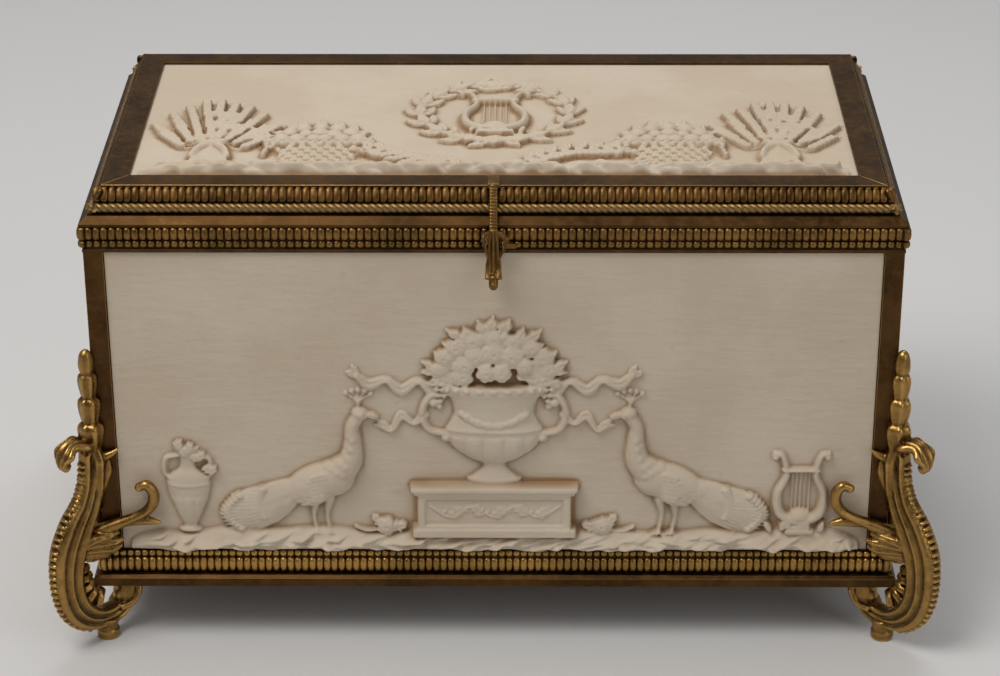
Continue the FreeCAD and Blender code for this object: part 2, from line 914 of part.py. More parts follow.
def cut_lock(rail):
    """The slot for the hasp's tongue, the window for the bolt's tab and the bores for the bolt."""
    play = size.tongue_slot_play
    slot_low = bolt_level - size.tongue_height / 2 - play
    slot_high = bolt_level + size.tongue_height / 2 + play * 4
    slot_back = tongue_end + play
    slot_start = (-tongue_slot_half, -size.cut_margin, slot_low)
    cut_box(rail, "tongue_slot", slot_start, (tongue_slot_half, slot_back, slot_high))
    window_half = size.bolt_tab_height / 2 + size.bolt_window_play
    window_back = size.bolt_inset + size.bolt_radius + size.bolt_window_play
    window_low = (tongue_slot_half - size.end_play, -size.cut_margin, bolt_level - window_half)
    cut_box(rail, "bolt_window", window_low, (bolt_window_end, window_back, bolt_level + window_half))
    bore = size.bolt_radius + size.bolt_play
    far_start = (bolt_window_end - size.end_play, size.bolt_inset, bolt_level)
    bore_length = size.bolt_tail + size.screw_end_play + size.end_play
    cut_bore(rail, "bolt_bore", far_start, bore, bore_length, along_x=True)
    depth = size.bolt_travel
    keep_start = (-tongue_slot_half - depth, size.bolt_inset, bolt_level)
    cut_bore(rail, "bolt_keep", keep_start, bore, depth + size.end_play, along_x=True)


hinge_axis_level = rim_top + size.lid_rest_gap / 2
HINGE_PLACES = (-1, 1)
SCREW_PLACES = (-1, 1)
screw_inset = size.hinge_setback + size.case_leaf_reach * 0.62
lid_screw_inset = size.hinge_setback + size.lid_leaf_reach * 0.76


def cut_hinge_seats(rail):
    """Mortises, barrel hollows and screw holes for the case leaves."""
    play = size.hinge_play
    half = size.hinge_width / 2 + play
    leaf_end = size.hinge_setback + size.case_leaf_reach + play
    seat = size.rim_height - size.leaf_thickness
    hollow = size.hinge_barrel_radius + play * 1.5
    for number, place_sign in enumerate(HINGE_PLACES, start=1):
        middle = size.hinge_spread / 2 * place_sign
        low = (middle - half, size.hinge_setback, seat)
        high = (middle + half, leaf_end, size.rim_height + size.cut_margin)
        cut_box(rail, f"mortise_{number}", low, high)
        start = (middle - half, size.hinge_setback, size.rim_height + size.lid_rest_gap / 2)
        cut_bore(rail, f"barrel_hollow_{number}", start, hollow, half * 2, along_x=True)
        for screw_sign in SCREW_PLACES:
            across = middle + size.hinge_screw_spacing / 2 * screw_sign
            spot = (across, screw_inset, seat - size.hinge_screw_length)
            radius = size.hinge_screw_radius + size.screw_play
            cut_bore(rail, f"screw_hole_{number}", spot, radius, size.hinge_screw_length + size.end_play)


def rim_moulding(side, half=None):
    """A reeded roll with a bead row under it, in the recess of the rim."""
    seat = size.moulding_recess
    face = seat - size.moulding_backing
    low = size.rim_fillet + size.moulding_play
    high = size.rim_height - size.rim_slope_height - size.rim_nose - size.moulding_play
    bead_low = low + size.bead_row_drop
    bead_high = bead_low + size.bead_row_height
    roll_high = high - size.moulding_play
    roll_low = roll_high - size.rim_roll_height
    loop = [
        (face, low),
        (seat, low),
        (seat, high),
        (face, high),
        (face, roll_high, swell_radius(size.rim_roll_height, size.rim_roll_swell)),
        (face, roll_low),
        (face, bead_high, swell_radius(size.bead_row_height, size.bead_row_swell)),
        (face, bead_low),
    ]
    reach_out = size.rim_roll_swell - face
    label = f"rim_{side}_moulding" if half is None else f"rim_{side}_{half}_moulding"
    strip = mitred_rail(label, side, loop, reach_out, seat, rim_bottom)
    if half is not None:
        keep_one_half(strip, half, reach_out, seat, size.rim_height)
    if half == "right":
        window_top = bolt_level + size.bolt_tab_height / 2 + size.bolt_window_play
        margin = size.cut_margin
        window_low = (0, -reach_out - margin, 0)
        cut_box(strip, "bolt_window", window_low, (bolt_window_end, seat + margin, window_top))
    return strip


def keep_one_half(strip, half, reach_out, reach_in, height):
    """Cut a front strip back to one side of the hasp."""
    margin = size.cut_margin
    far = half_width + reach_out + margin
    gap = size.hasp_gap / 2
    low = (-gap, -reach_out - margin, -margin)
    high = (far, reach_in + margin, height + margin)
    if half == "right":
        low = (-far, -reach_out - margin, -margin)
        high = (gap, reach_in + margin, height + margin)
    cut_box(strip, "hasp_side", low, high)


# Lid

def lid_rail(side):
    lip_end = size.lid_setback + size.lid_border
    lip_low = size.lid_height - size.lid_lip
    bead_top = size.lid_height - size.lid_lip + size.moulding_play
    loop = [
        (size.flange_setback, 0),
        (lid_wall_inset, 0),
        (lid_wall_inset, lip_low),
        (lip_end, lip_low),
        (lip_end, size.lid_height),
        (size.lid_setback, size.lid_height),
        (size.lid_setback, bead_top),
        (ovolo_seat, bead_top),
        (ovolo_seat, size.flange_height),
        (size.flange_setback, size.flange_height),
    ]
    rail = mitred_rail(f"lid_{side}_rail", side, loop, 0, lip_end, lid_bottom)
    if side == "back":
        cut_lid_hinge_seats(rail)
    return rail


def cut_lid_hinge_seats(rail):
    """Mortises and screw holes for the lid leaves."""
    half = size.hinge_width / 2 + size.hinge_play
    leaf_end = size.hinge_setback + size.lid_leaf_reach + size.hinge_play
    for number, place_sign in enumerate(HINGE_PLACES, start=1):
        middle = size.hinge_spread / 2 * place_sign
        low = (middle - half, 0, -size.cut_margin)
        cut_box(rail, f"mortise_{number}", low, (middle + half, leaf_end, size.leaf_thickness))
        for screw_sign in SCREW_PLACES:
            across = middle + size.hinge_screw_spacing / 2 * screw_sign
            spot = (across, lid_screw_inset, size.leaf_thickness - size.end_play)
            radius = size.hinge_screw_radius + size.screw_play
            cut_bore(rail, f"screw_hole_{number}", spot, radius, size.hinge_screw_length + size.end_play)


def lid_ovolo(side, half=None):
    """A quarter-round reeded bead under the lid's edge."""
    low = size.flange_height + size.moulding_play
    high = size.lid_height - size.lid_lip
    outer = ovolo_seat - size.ovolo_reach
    loop = [
        (outer, low),
        (ovolo_seat, low),
        (ovolo_seat, high),
        (ovolo_seat - size.lid_fillet, high, size.ovolo_radius),
        (outer, low + size.ovolo_lip),
    ]
    label = f"lid_{side}_bead" if half is None else f"lid_{side}_{half}_bead"
    strip = mitred_rail(label, side, loop, 0, ovolo_seat, lid_bottom)
    if half is not None:
        keep_one_half(strip, half, as_length(0), ovolo_seat, size.lid_height)
    return strip


def lid_rope():
    """A twisted-rope moulding round the lid's flange, open where the hinge leaves pass."""
    radius = size.rope_diameter.value / 2
    right = (half_width - rope_inset).value
    back = (half_depth - rope_inset).value
    level = lid_bottom.value + radius
    start = FreeCAD.Vector(0, -back, level)
    corners = [FreeCAD.Vector(right * x, back * y, level) for x, y in ((1, -1), (1, 1), (-1, 1), (-1, -1))]
    path = Part.makePolygon([start, *corners, start])
    section = Part.Wire(Part.makeCircle(radius, start, OUTWARD_X))
    rope = path.makePipeShell([section], True, False, MITRED_TURNS)
    half = (size.hinge_width / 2 + size.hinge_play).value
    for place_sign in HINGE_PLACES:
        middle = (size.hinge_spread / 2 * place_sign).value
        corner_point = FreeCAD.Vector(middle - half, back - radius * 2, level - radius * 2)
        rope = rope.cut(Part.makeBox(half * 2, radius * 4, radius * 4, corner_point))
    return finish(shape_object("lid_rope", rope), "lid_rope")


def layer(name, inset, low, high):
    reach = (half_width - inset, half_depth - inset)
    return box_object(name, (-reach[0], -reach[1], low), (reach[0], reach[1], high))


def lid_panel(inset, low):
    """The bisque top: a strip of ground, a wreath round a lyre, sprays, fruit baskets and wheat sheaves."""
    across = half_width - inset
    deep = half_depth - inset
    body = new_body("lid_panel")
    outline = both_sides([(across, -deep), (across, deep)])
    add_pad(body, add_sketch(body, "outline", "XY_Plane", [outline]), size.lid_panel_thickness)
    border = size.lid_setback + size.lid_border
    near = border + size.lining_gap - half_depth
    far = near + size.lid_ground_depth
    ground = upright(half_width - border - size.ground_end, near, far)
    raise_on_lid(body, "ground", [ground], size.lid_ground_reach)
    level = size.lid_wreath_offset
    wreath = ring(level, size.lid_wreath_radius, size.wreath_band)
    raise_on_lid(body, "wreath", wreath, size.lid_wreath_reach)
    lyre = [moved(loop, 0, level - size.lid_lyre_drop) for loop in lyre_outline(size.lid_lyre_height)]
    raise_on_lid(body, "lyre", lyre, size.lid_lyre_reach)
    foot = far - size.motif_sink
    spray = moved(spray_outline(size.lid_spray_length, size.lid_spray_tilt), size.lid_spray_place, far)
    raise_on_lid(body, "sprays", [spray, mirrored(spray)], size.spray_reach)
    basket = moved(basket_outline(), -size.basket_place, foot)
    raise_on_lid(body, "baskets", [basket, mirrored(basket)], size.lid_motif_reach)
    sheaf_at = half_width - border - size.sheaf_end - size.sheaf_width / 2
    sheaf = moved(sheaf_outline(), -sheaf_at, foot)
    raise_on_lid(body, "sheaves", [sheaf, mirrored(sheaf)], size.lid_motif_reach)
    place(body, 0, 0, low)
    return finish(body, "lid_panel")


def basket_outline():
    """A basket heaped with fruit."""
    heap = swell_radius(size.basket_width, size.fruit_height)
    return both_sides([(size.basket_foot / 2, 0), (size.basket_width / 2, size.basket_height, heap)])


def sheaf_outline():
    """A sheaf tied in at its waist, with a domed head of ears."""
    dome = swell_radius(size.sheaf_width, size.sheaf_dome)
    return both_sides([
        (size.sheaf_foot / 2, 0),
        (size.sheaf_waist / 2, size.sheaf_tie),
        (size.sheaf_width / 2, size.sheaf_shoulder, dome),
    ])


def lid_filling():
    """The lid's bisque panel, the board behind it and the padded lining."""
    inset = lid_wall_inset + size.lining_gap
    panel_top = lid_top - size.lid_lip
    panel_low = panel_top - size.lid_panel_thickness
    board_low = panel_low - size.lid_board_thickness
    lid_panel(inset, panel_low)
    board = layer("lid_backing_board", inset, board_low, panel_low)
    finish(board, "lid_backing_board")
    pad_low = board_low - size.lid_pad_thickness
    rounded_pad("lid_pad", inset + size.lining_gap, pad_low, board_low, upward=False)


# Hinges

def hinge_middle(place_sign):
    return size.hinge_spread / 2 * place_sign


def leaf_holes(name, middle, inset, level, head_up):
    """Pin hole and countersunk screw holes of one leaf."""
    axis_y = half_depth - size.hinge_setback
    half = size.hinge_width / 2
    hole = size.hinge_pin_radius + size.hinge_pin_play
    start = (middle - half - size.cut_margin, axis_y, hinge_axis_level)
    length = size.hinge_width + size.cut_margin * 2
    tools = [rod_object(name + "_pin_hole", start, hole, length, along_x=True)]
    for number, screw_sign in enumerate(SCREW_PLACES, start=1):
        cone = doc.addObject("Part::Cone", f"{name}_sink_{number}")
        wide = size.hinge_screw_head_radius + size.screw_play
        narrow = size.hinge_screw_radius + size.screw_play
        bind(cone, "Radius1", narrow if head_up else wide)
        bind(cone, "Radius2", wide if head_up else narrow)
        bind(cone, "Height", size.leaf_thickness)
        place(cone, middle + size.hinge_screw_spacing / 2 * screw_sign, half_depth - inset, level)
        tools.append(cone)
    return tools


def hinge_leaf(label, place_sign, level, reach, knuckles, screw_at, head_up):
    """A plate with knuckles round the pin, given as spans along X from the hinge's middle."""
    middle = hinge_middle(place_sign)
    axis_y = half_depth - size.hinge_setback
    half = size.hinge_width / 2
    clear_y = axis_y - size.hinge_barrel_radius - size.hinge_play
    low = (middle - half, axis_y - reach, level)
    pieces = [box_object(label + "_plate", low, (middle + half, clear_y, level + size.leaf_thickness))]
    for number, (left, right) in enumerate(knuckles, start=1):
        web_low = (middle + left, clear_y, level)
        web_high = (middle + right, axis_y, level + size.leaf_thickness)
        pieces.append(box_object(f"{label}_web_{number}", web_low, web_high))
        start = (middle + left, axis_y, hinge_axis_level)
        radius = size.hinge_barrel_radius
        pieces.append(rod_object(f"{label}_barrel_{number}", start, radius, right - left, along_x=True))
    tools = leaf_holes(label, middle, screw_at, level, head_up)
    return finish(cut_by(label + "_drilled", fused(label + "_blank", pieces), tools), label)


def hinges():
    half = size.hinge_width / 2
    inner = size.middle_knuckle / 2
    outer_spans = [(-half, -inner - size.hinge_play), (inner + size.hinge_play, half)]
    names = {-1: "left", 1: "right"}
    for place_sign, name in names.items():
        case_level = rim_top - size.leaf_thickness
        label = f"{name}_hinge_case_leaf"
        hinge_leaf(label, place_sign, case_level, size.case_leaf_reach, outer_spans, screw_inset, True)
        label = f"{name}_hinge_lid_leaf"
        spans = [(-inner, inner)]
        hinge_leaf(label, place_sign, lid_bottom, size.lid_leaf_reach, spans, lid_screw_inset, False)
    pins = []
    for place_sign in HINGE_PLACES:
        start = (hinge_middle(place_sign) - half, half_depth - size.hinge_setback, hinge_axis_level)
        pin = rod_object(f"pin_{place_sign}", start, size.hinge_pin_radius, size.hinge_width, along_x=True)
        pins.append(pin)
    finish(grouped("hinge_pin_group", pins), "hinge_pins")
    hinge_screws("case_hinge_screws", screw_inset, rim_top, downward=True)
    hinge_screws("lid_hinge_screws", lid_screw_inset, lid_bottom, downward=False)


def grouped(name, members):
    group = doc.addObject("Part::Compound", name)
    group.Links = members
    doc.recompute()
    return group


def hinge_screws(label, inset, level, downward):
    """Countersunk screws whose heads are flush with the leaves."""
    screws = []
    for place_sign in HINGE_PLACES:
        for screw_sign in SCREW_PLACES:
            name = f"{label}_{len(screws)}"
            across = hinge_middle(place_sign) + size.hinge_screw_spacing / 2 * screw_sign
            along = half_depth - inset
            head = doc.addObject("Part::Cone", name + "_head")
            wide = size.hinge_screw_head_radius
            bind(head, "Radius1", size.hinge_screw_radius if downward else wide)
            bind(head, "Radius2", wide if downward else size.hinge_screw_radius)
            bind(head, "Height", size.leaf_thickness)
            head_level = level - size.leaf_thickness if downward else level
            place(head, across, along, head_level)
            shank_length = size.hinge_screw_length - size.end_play
            shank_level = head_level - shank_length if downward else level + size.leaf_thickness
            start = (across, along, shank_level)
            shank = rod_object(name + "_shank", start, size.hinge_screw_radius, shank_length)
            screws.append(fused(name, [head, shank]))
    return finish(grouped(label + "_group", screws), label)


# Hasp and bolt

hasp_axis_inset = size.lid_setback - size.hasp_barrel_radius - size.hasp_play
hasp_axis_level = lid_top + size.hasp_axis_rise
rope_outer = rope_inset - size.rope_diameter / 2
roll_outer = size.moulding_recess - size.moulding_backing - size.rim_roll_swell


def front_y(inset):
    return -half_depth + inset


def hasp_bracket():
    """A small plate on the lid's front border with two knuckles for the hasp's pin."""
    half = size.bracket_width / 2
    inner = size.hasp_knuckle / 2 + size.end_play
    axis_y = front_y(hasp_axis_inset)
    plate_front = front_y(size.lid_setback)
    plate_high = (half, plate_front + size.bracket_length, lid_top + size.bracket_thickness)
    pieces = [box_object("bracket_plate", (-half, plate_front, lid_top), plate_high)]
    for name, left, right in (("left", -half, -inner), ("right", inner, half)):
        web_high = (right, plate_front, lid_top + size.bracket_thickness)
        pieces.append(box_object(f"bracket_{name}_web", (left, axis_y, lid_top), web_high))
        start = (left, axis_y, hasp_axis_level)
        radius = size.hasp_barrel_radius
        pieces.append(rod_object(f"bracket_{name}_barrel", start, radius, right - left, along_x=True))
    room = size.hasp_barrel_radius * 3
    clear_low = (-inner, axis_y - room, lid_top - room)
    clear = box_object("bracket_gap", clear_low, (inner, plate_front, lid_top + room))
    hole = size.hasp_pin_radius + size.hasp_pin_play
    start = (-half - size.cut_margin, axis_y, hasp_axis_level)
    length = size.bracket_width + size.cut_margin * 2
    bore = rod_object("bracket_pin_hole", start, hole, length, along_x=True)
    blank = fused("bracket_blank", pieces)
    return finish(cut_by("bracket_drilled", blank, [clear, bore]), "hasp_bracket")


def hasp_side_view():
    """The hasp seen from the side: a strap bent over the rope and the rim, and a leaf that flips out."""
    away = size.hasp_clearance
    thick = size.hasp_thickness
    rope_top = lid_bottom + size.rope_diameter
    roll_middle = rim_edge - size.rim_nose - size.rim_roll_height / 2
    leaf_bend = rim_bottom + size.rim_fillet
    tip = rim_edge - size.hasp_drop
    body = new_body("hasp_side_view")
    loop = [
        (-size.hasp_tip_reach, tip),
        (-size.hasp_tip_reach + thick, tip + thick),
        (roll_outer - away, leaf_bend),
        (roll_outer - away, roll_middle),
        (-away, rim_edge),
        (rope_outer - away, rope_top),
        (hasp_axis_inset, hasp_axis_level - size.hasp_barrel_radius * 0.7),
        (hasp_axis_inset, hasp_axis_level + size.hasp_barrel_radius),
        (hasp_axis_inset - thick * 0.7, hasp_axis_level + size.hasp_barrel_radius * 0.4),
        (rope_outer - away - thick, rope_top + thick * 0.4),
        (-away - thick, rim_edge + thick * 0.3),
        (roll_outer - away - thick * 1.2, roll_middle),
        (roll_outer - away - thick * 1.1, leaf_bend - thick * 0.3),
        (-size.hasp_tip_reach - thick * 0.6, tip + thick * 0.6),
    ]
    width = size.hasp_leaf_width + size.cut_margin * 2
    add_pad(body, add_sketch(body, "outline", "YZ_Plane", [loop]), width, symmetric=True)
    place(body, 0, -half_depth, 0)
    return body


def hasp_front_view():
    """The hasp seen from the front: strap, collar, leaf and tip."""
    strap = size.strap_width / 2
    leaf = size.hasp_leaf_width / 2
    waist = size.hasp_leaf_waist / 2
    tip_half = size.hasp_tip_width / 2
    tip = rim_edge - size.hasp_drop
    span = size.hasp_drop
    knuckle = size.hasp_knuckle / 2
    top = hasp_axis_level + size.hasp_barrel_radius + size.cut_margin
    lip_level = tip + span * 0.28
    right = [
        (tip_half, tip - size.cut_margin),
        (tip_half * 1.6, tip + span * 0.1),
        (waist, lip_level),
        (waist * 0.85, lip_level + span * 0.12),
        (waist, tip + span * 0.6),
        (leaf, tip + span * 0.84),
        (strap * 1.4, tip + span * 0.97),
        (strap * 1.4, tip + span * 1.05),
        (strap, tip + span * 1.08),
        (strap, hasp_axis_level - size.hasp_barrel_radius - size.hasp_play),
        (knuckle, hasp_axis_level - size.hasp_barrel_radius),
        (knuckle, top),
    ]
    left = [(-x, z) for x, z in reversed(right)]
    body = new_body("hasp_front_view")
    sketch = add_sketch(body, "outline", "XZ_Plane", [right + left])
    add_pad(body, sketch, size.rim_depth * 2, symmetric=True)
    return body


def hasp():
    blade = doc.addObject("Part::Common", "hasp_blade")
    blade.Base = hasp_side_view()
    blade.Tool = hasp_front_view()
    axis_y = front_y(hasp_axis_inset)
    knuckle_half = size.hasp_knuckle / 2
    start = (-knuckle_half, axis_y, hasp_axis_level)
    knuckle = rod_object("hasp_knuckle", start, size.hasp_barrel_radius, size.hasp_knuckle, along_x=True)
    half = size.tongue_thickness / 2
    level = rim_bottom + bolt_level
    tongue_low = (-half, front_y(roll_outer - size.hasp_clearance - size.hasp_thickness / 2))
    low = (*tongue_low, level - size.tongue_height / 2)
    tongue = box_object("hasp_tongue", low, (half, front_y(tongue_end), level + size.tongue_height / 2))
    blank = fused("hasp_blank", [blade, knuckle, tongue])
    hole = size.hasp_pin_radius + size.hasp_pin_play
    margin = size.cut_margin
    pin_start = (-knuckle_half - margin, axis_y, hasp_axis_level)
    bore = rod_object("hasp_pin_hole", pin_start, hole, size.hasp_knuckle + margin * 2, along_x=True)
    eye_radius = size.bolt_radius + size.bolt_eye_play
    eye_start = (-half - margin, front_y(size.bolt_inset), level)
    eye = rod_object("hasp_eye", eye_start, eye_radius, size.tongue_thickness + margin * 2, along_x=True)
    finish(cut_by("hasp_drilled", blank, [bore, eye]), "hasp")
    half_bracket = size.bracket_width / 2
    pin_from = (-half_bracket, axis_y, hasp_axis_level)
    pin = rod_object("hasp_pin_rod", pin_from, size.hasp_pin_radius, size.bracket_width, along_x=True)
    finish(pin, "hasp_pin")


def lock_bolt():
    """A thin bolt with a thumb tab; drawn back at rest."""
    level = rim_bottom + bolt_level
    start = (bolt_tip, front_y(size.bolt_inset), level)
    rod = rod_object("bolt_rod", start, size.bolt_radius, bolt_tail_end - bolt_tip, along_x=True)
    half = size.bolt_tab_height / 2
    low = (bolt_tab_start, front_y(-size.bolt_tab_reach), level - half)
    tab = box_object("bolt_tab", low, (bolt_tab_end, front_y(size.bolt_inset), level + half))
    return finish(fused("bolt_with_tab", [rod, tab]), "lock_bolt")


# Feet, built at a post's outer corner: X and Y inwards along the walls, then turned to each corner

def flat_point(reach, height):
    return FreeCAD.Vector(reach, 0, height)


def bent(*points):
    return Part.Arc(*points).toShape()


def straight(start, end):
    return Part.LineSegment(start, end).toShape()


def bent_rod(radius, start, middle, end):
    """A round rod along an arc through three points."""
    edge = bent(start, middle, end)
    section = Part.makeCircle(radius, start, edge.tangentAt(edge.FirstParameter))
    return Part.Wire(edge).makePipeShell([Part.Wire(section)], True, True)


def scroll():
    """The foot's C-scroll and stem, cut from the side."""
    reach = size.foot_reach.value
    shoulder = flat_point(size.foot_shoulder_reach.value, size.foot_shoulder_height.value)
    widest = flat_point(reach, size.foot_reach_height.value)
    waist = flat_point(size.foot_waist_reach.value, size.foot_waist_height.value)
    bend = flat_point(size.foot_bend_reach.value, size.foot_bend_height.value)
    heel = flat_point(-size.foot_heel.value, size.foot_heel_height.value)
    heel_top = flat_point(-size.foot_heel.value, size.base_height.value)
    block_top = flat_point(-size.foot_heel.value + size.foot_block.value, size.base_height.value)
    block_low = flat_point(block_top.x, bend.z)
    hollow = flat_point((bend.x + block_low.x) / 2, size.foot_hollow.value)
    stem_top = flat_point(size.foot_stem_depth.value, size.foot_stem_height.value)
    post_top = flat_point(-size.foot_overlap.value, stem_top.z)
    tuck = flat_point(post_top.x, size.foot_tuck_height.value)
    lower_back = flat_point(waist.x * 0.8, waist.z * 1.27)
    neck = flat_point(stem_top.x, stem_top.z - (stem_top.z - shoulder.z) * 0.25)
    neck_bend = flat_point(stem_top.x * 1.35, (neck.z + shoulder.z) / 2 - size.foot_neck_sag.value)
    low_side = flat_point(reach * 0.9, size.foot_bend_height.value)
    sole = flat_point(0, size.foot_sole.value)
    under = flat_point(reach * 0.56, (sole.z + low_side.z) / 2 - size.foot_sole_sag.value)
    heel_side = flat_point(heel.x * 0.75, sole.z + (heel.z - sole.z) * 0.3)
    edges = [
        straight(post_top, tuck),
        straight(tuck, lower_back),
        bent(lower_back, waist, bend),
        bent(bend, hollow, block_low),
        straight(block_low, block_top),
        straight(block_top, heel_top),
        straight(heel_top, heel),
        bent(heel, heel_side, sole),
        bent(sole, under, low_side),
        bent(low_side, widest, shoulder),
        bent(shoulder, neck_bend, neck),
        straight(neck, stem_top),
        straight(stem_top, post_top),
    ]
    wide = size.foot_width.value
    face = Part.Face(Part.Wire(edges))
    face.translate(FreeCAD.Vector(0, -wide / 2, 0))
    return face.extrude(FreeCAD.Vector(0, wide, 0))


def finial():
    """A stack of bellflower husks that narrows upwards."""
    axis = size.finial_offset.value
    foot = size.foot_stem_height.value
    step = size.finial_height.value / HUSKS_PER_FINIAL
    shrink = (size.finial_radius.value - size.finial_top_radius.value) / (HUSKS_PER_FINIAL - 1)
    edges = []
    start = flat_point(axis + size.finial_radius.value * HUSK_NECK_SHARE, foot)
    edges.append(straight(flat_point(axis, foot), start))
    for number in range(HUSKS_PER_FINIAL):
        radius = size.finial_radius.value - shrink * number
        top = foot + step * (number + 1)
        end = flat_point(axis + (radius - shrink) * HUSK_NECK_SHARE, top)
        edges.append(bent(start, flat_point(axis + radius, top - step * 0.6), end))
        start = end
    edges.append(straight(start, flat_point(axis, start.z)))
    edges.append(straight(flat_point(axis, start.z), flat_point(axis, foot)))
    face = Part.Face(Part.Wire(edges))
    return face.revolve(flat_point(axis, 0), UP, 360)


def leaf_curl():
    """The leaf at the stem's head that rolls outwards."""
    radius = size.curl_radius.value
    start = flat_point(size.foot_stem_depth.value / 2, size.foot_stem_height.value - radius * 2)
    end = flat_point(size.curl_reach.value, size.curl_height.value - radius * 1.6)
    crest_x = (start.x + end.x) / 2 + size.curl_lean.value
    crest = flat_point(crest_x, size.curl_height.value - radius * 0.6)
    return bent_rod(radius, start, crest, end).fuse(Part.makeSphere(radius, end))


def tendril_arm():
    """The arm that runs along the wall and hooks back at its end."""
    radius = size.arm_radius.value
    stand = -size.arm_standoff.value
    length = size.arm_length.value
    low = size.arm_start_height.value
    rise = size.arm_rise.value
    hook = size.arm_hook.value
    start = FreeCAD.Vector(-size.foot_overlap.value, stand, low)
    turn = FreeCAD.Vector(length, stand, low + rise)
    sag = FreeCAD.Vector(length * 0.5, stand, low + rise * 0.4)
    far = FreeCAD.Vector(length + radius, stand, low + rise + hook * 0.5)
    tip = FreeCAD.Vector(length - radius, stand, low + rise + hook)
    knuckle = Part.makeSphere(radius * 1.08, turn)
    hook_rod = bent_rod(radius, turn, far, tip)
    bud = Part.makeSphere(radius * 1.3, tip)
    return bent_rod(radius, start, sag, turn).multiFuse([knuckle, hook_rod, bud])


def mirrored_arm(arm):
    """The same arm along the other wall."""
    return arm.mirror(FreeCAD.Vector(0, 0, 0), FreeCAD.Vector(1, -1, 0))


def case_corner():
    """The stepped corner of the case that the foot is fitted round."""
    moulding_reach = size.base_roll_swell - size.upstand_setback + size.moulding_backing
    steps = [
        (size.plate_overhang, size.base_height, plate_top),
        (moulding_reach + size.lining_gap, plate_top, case_floor),
        (-size.post_setback, case_floor, rim_bottom),
    ]
    deep = size.rim_depth.value / 2
    corner = None
    for overhang, low, high in steps:
        start = -(overhang + size.post_setback).value
        box = Part.makeBox(deep, deep, (high - low).value, FreeCAD.Vector(start, start, low.value))
        corner = box if corner is None else corner.fuse(box)
    return corner


def foot_shape():
    diagonal_parts = [scroll(), finial(), leaf_curl()]
    toe_at = flat_point(size.toe_offset.value, 0)
    diagonal_parts.append(Part.makeCylinder(size.toe_radius.value, size.toe_height.value, toe_at))
    foot = diagonal_parts[0].multiFuse(diagonal_parts[1:])
    foot.rotate(FreeCAD.Vector(0, 0, 0), UP, FOOT_TURN)
    arm = tendril_arm()
    foot = foot.multiFuse([arm, mirrored_arm(arm)]).cut(case_corner())
    inset = (foot_screw_inset() - size.post_setback).value
    seat = size.foot_screw_seat_height.value
    head_hole = size.foot_screw_head_radius.value + size.screw_play.value
    shank_hole = size.foot_screw_radius.value + size.screw_play.value
    foot = foot.cut(Part.makeCylinder(head_hole, seat, FreeCAD.Vector(inset, inset, 0)))
    length = size.base_height.value - seat + size.cut_margin.value
    foot = foot.cut(Part.makeCylinder(shank_hole, length, FreeCAD.Vector(inset, inset, seat)))
    return foot.removeSplitter()


def feet():
    shape = foot_shape()
    screws = []
    for corner, (turn, x_sign, y_sign) in CORNERS.items():
        foot = shape_object(f"{corner}_foot", shape)
        corner_x = (half_width - size.post_setback).value * x_sign
        corner_y = (half_depth - size.post_setback).value * y_sign
        rotation = FreeCAD.Rotation(UP, turn)
        foot.Placement = FreeCAD.Placement(FreeCAD.Vector(corner_x, corner_y, 0), rotation)
        finish(foot, f"{corner}_foot")
        screws.append(foot_screw(corner, x_sign, y_sign))
    finish(grouped("foot_screw_group", screws), "foot_screws")


def foot_screw(corner, x_sign, y_sign):
    """A cheese-head screw up through the foot's block into the base."""
    inset = foot_screw_inset()
    spot = ((half_width - inset) * x_sign, (half_depth - inset) * y_sign)
    seat = size.foot_screw_seat_height
    head_start = (*spot, seat - size.foot_screw_head_height)
    head_height = size.foot_screw_head_height
    head = rod_object(f"{corner}_screw_head", head_start, size.foot_screw_head_radius, head_height)
    length = size.base_height + size.foot_screw_bite - seat
    shank = rod_object(f"{corner}_screw_shank", (*spot, seat), size.foot_screw_radius, length)
    return fused(f"{corner}_screw", [head, shank])


# Assembly

for side in SIDES:
    base_rail(side)
    base_moulding(side)
    wall_panel(side)
    wall_lining(side)
    rim_rail(side)
    lid_rail(side)
for side in ("right", "back", "left"):
    rim_moulding(side)
    lid_ovolo(side)
for half in ("left", "right"):
    rim_moulding("front", half)
    lid_ovolo("front", half)
for corner in CORNERS:
    corner_post(corner)
bottom_board()
floor_pad()
lid_rope()
lid_filling()
hinges()
hasp_bracket()
hasp()
lock_bolt()
feet()
doc.recompute()

# Tests before writing

for item in doc.Objects:
    if "Invalid" in item.State or "Error" in item.State:
        raise RuntimeError(f"{item.Label} failed: {item.State}")
for sub_part in sub_parts:
    shape = sub_part.Shape
    if shape.isNull() or not shape.isValid() or not shape.Solids:
        raise RuntimeError(f"{sub_part.Label} has no valid solid")

os.makedirs("parts", exist_ok=True)
for sub_part in sub_parts:
    sub_part.Shape.exportStep(f"parts/{sub_part.Label}.step")
    print(f"{sub_part.Label}: {len(sub_part.Shape.Solids)} solid(s), {sub_part.Shape.Volume:.0f} mm3")
print(len(sub_parts), "sub-parts")
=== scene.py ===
import json
import math

import bmesh
import bpy
import numpy as np
from bpy.props import FloatProperty, FloatVectorProperty, PointerProperty
from mathutils import Matrix, Vector


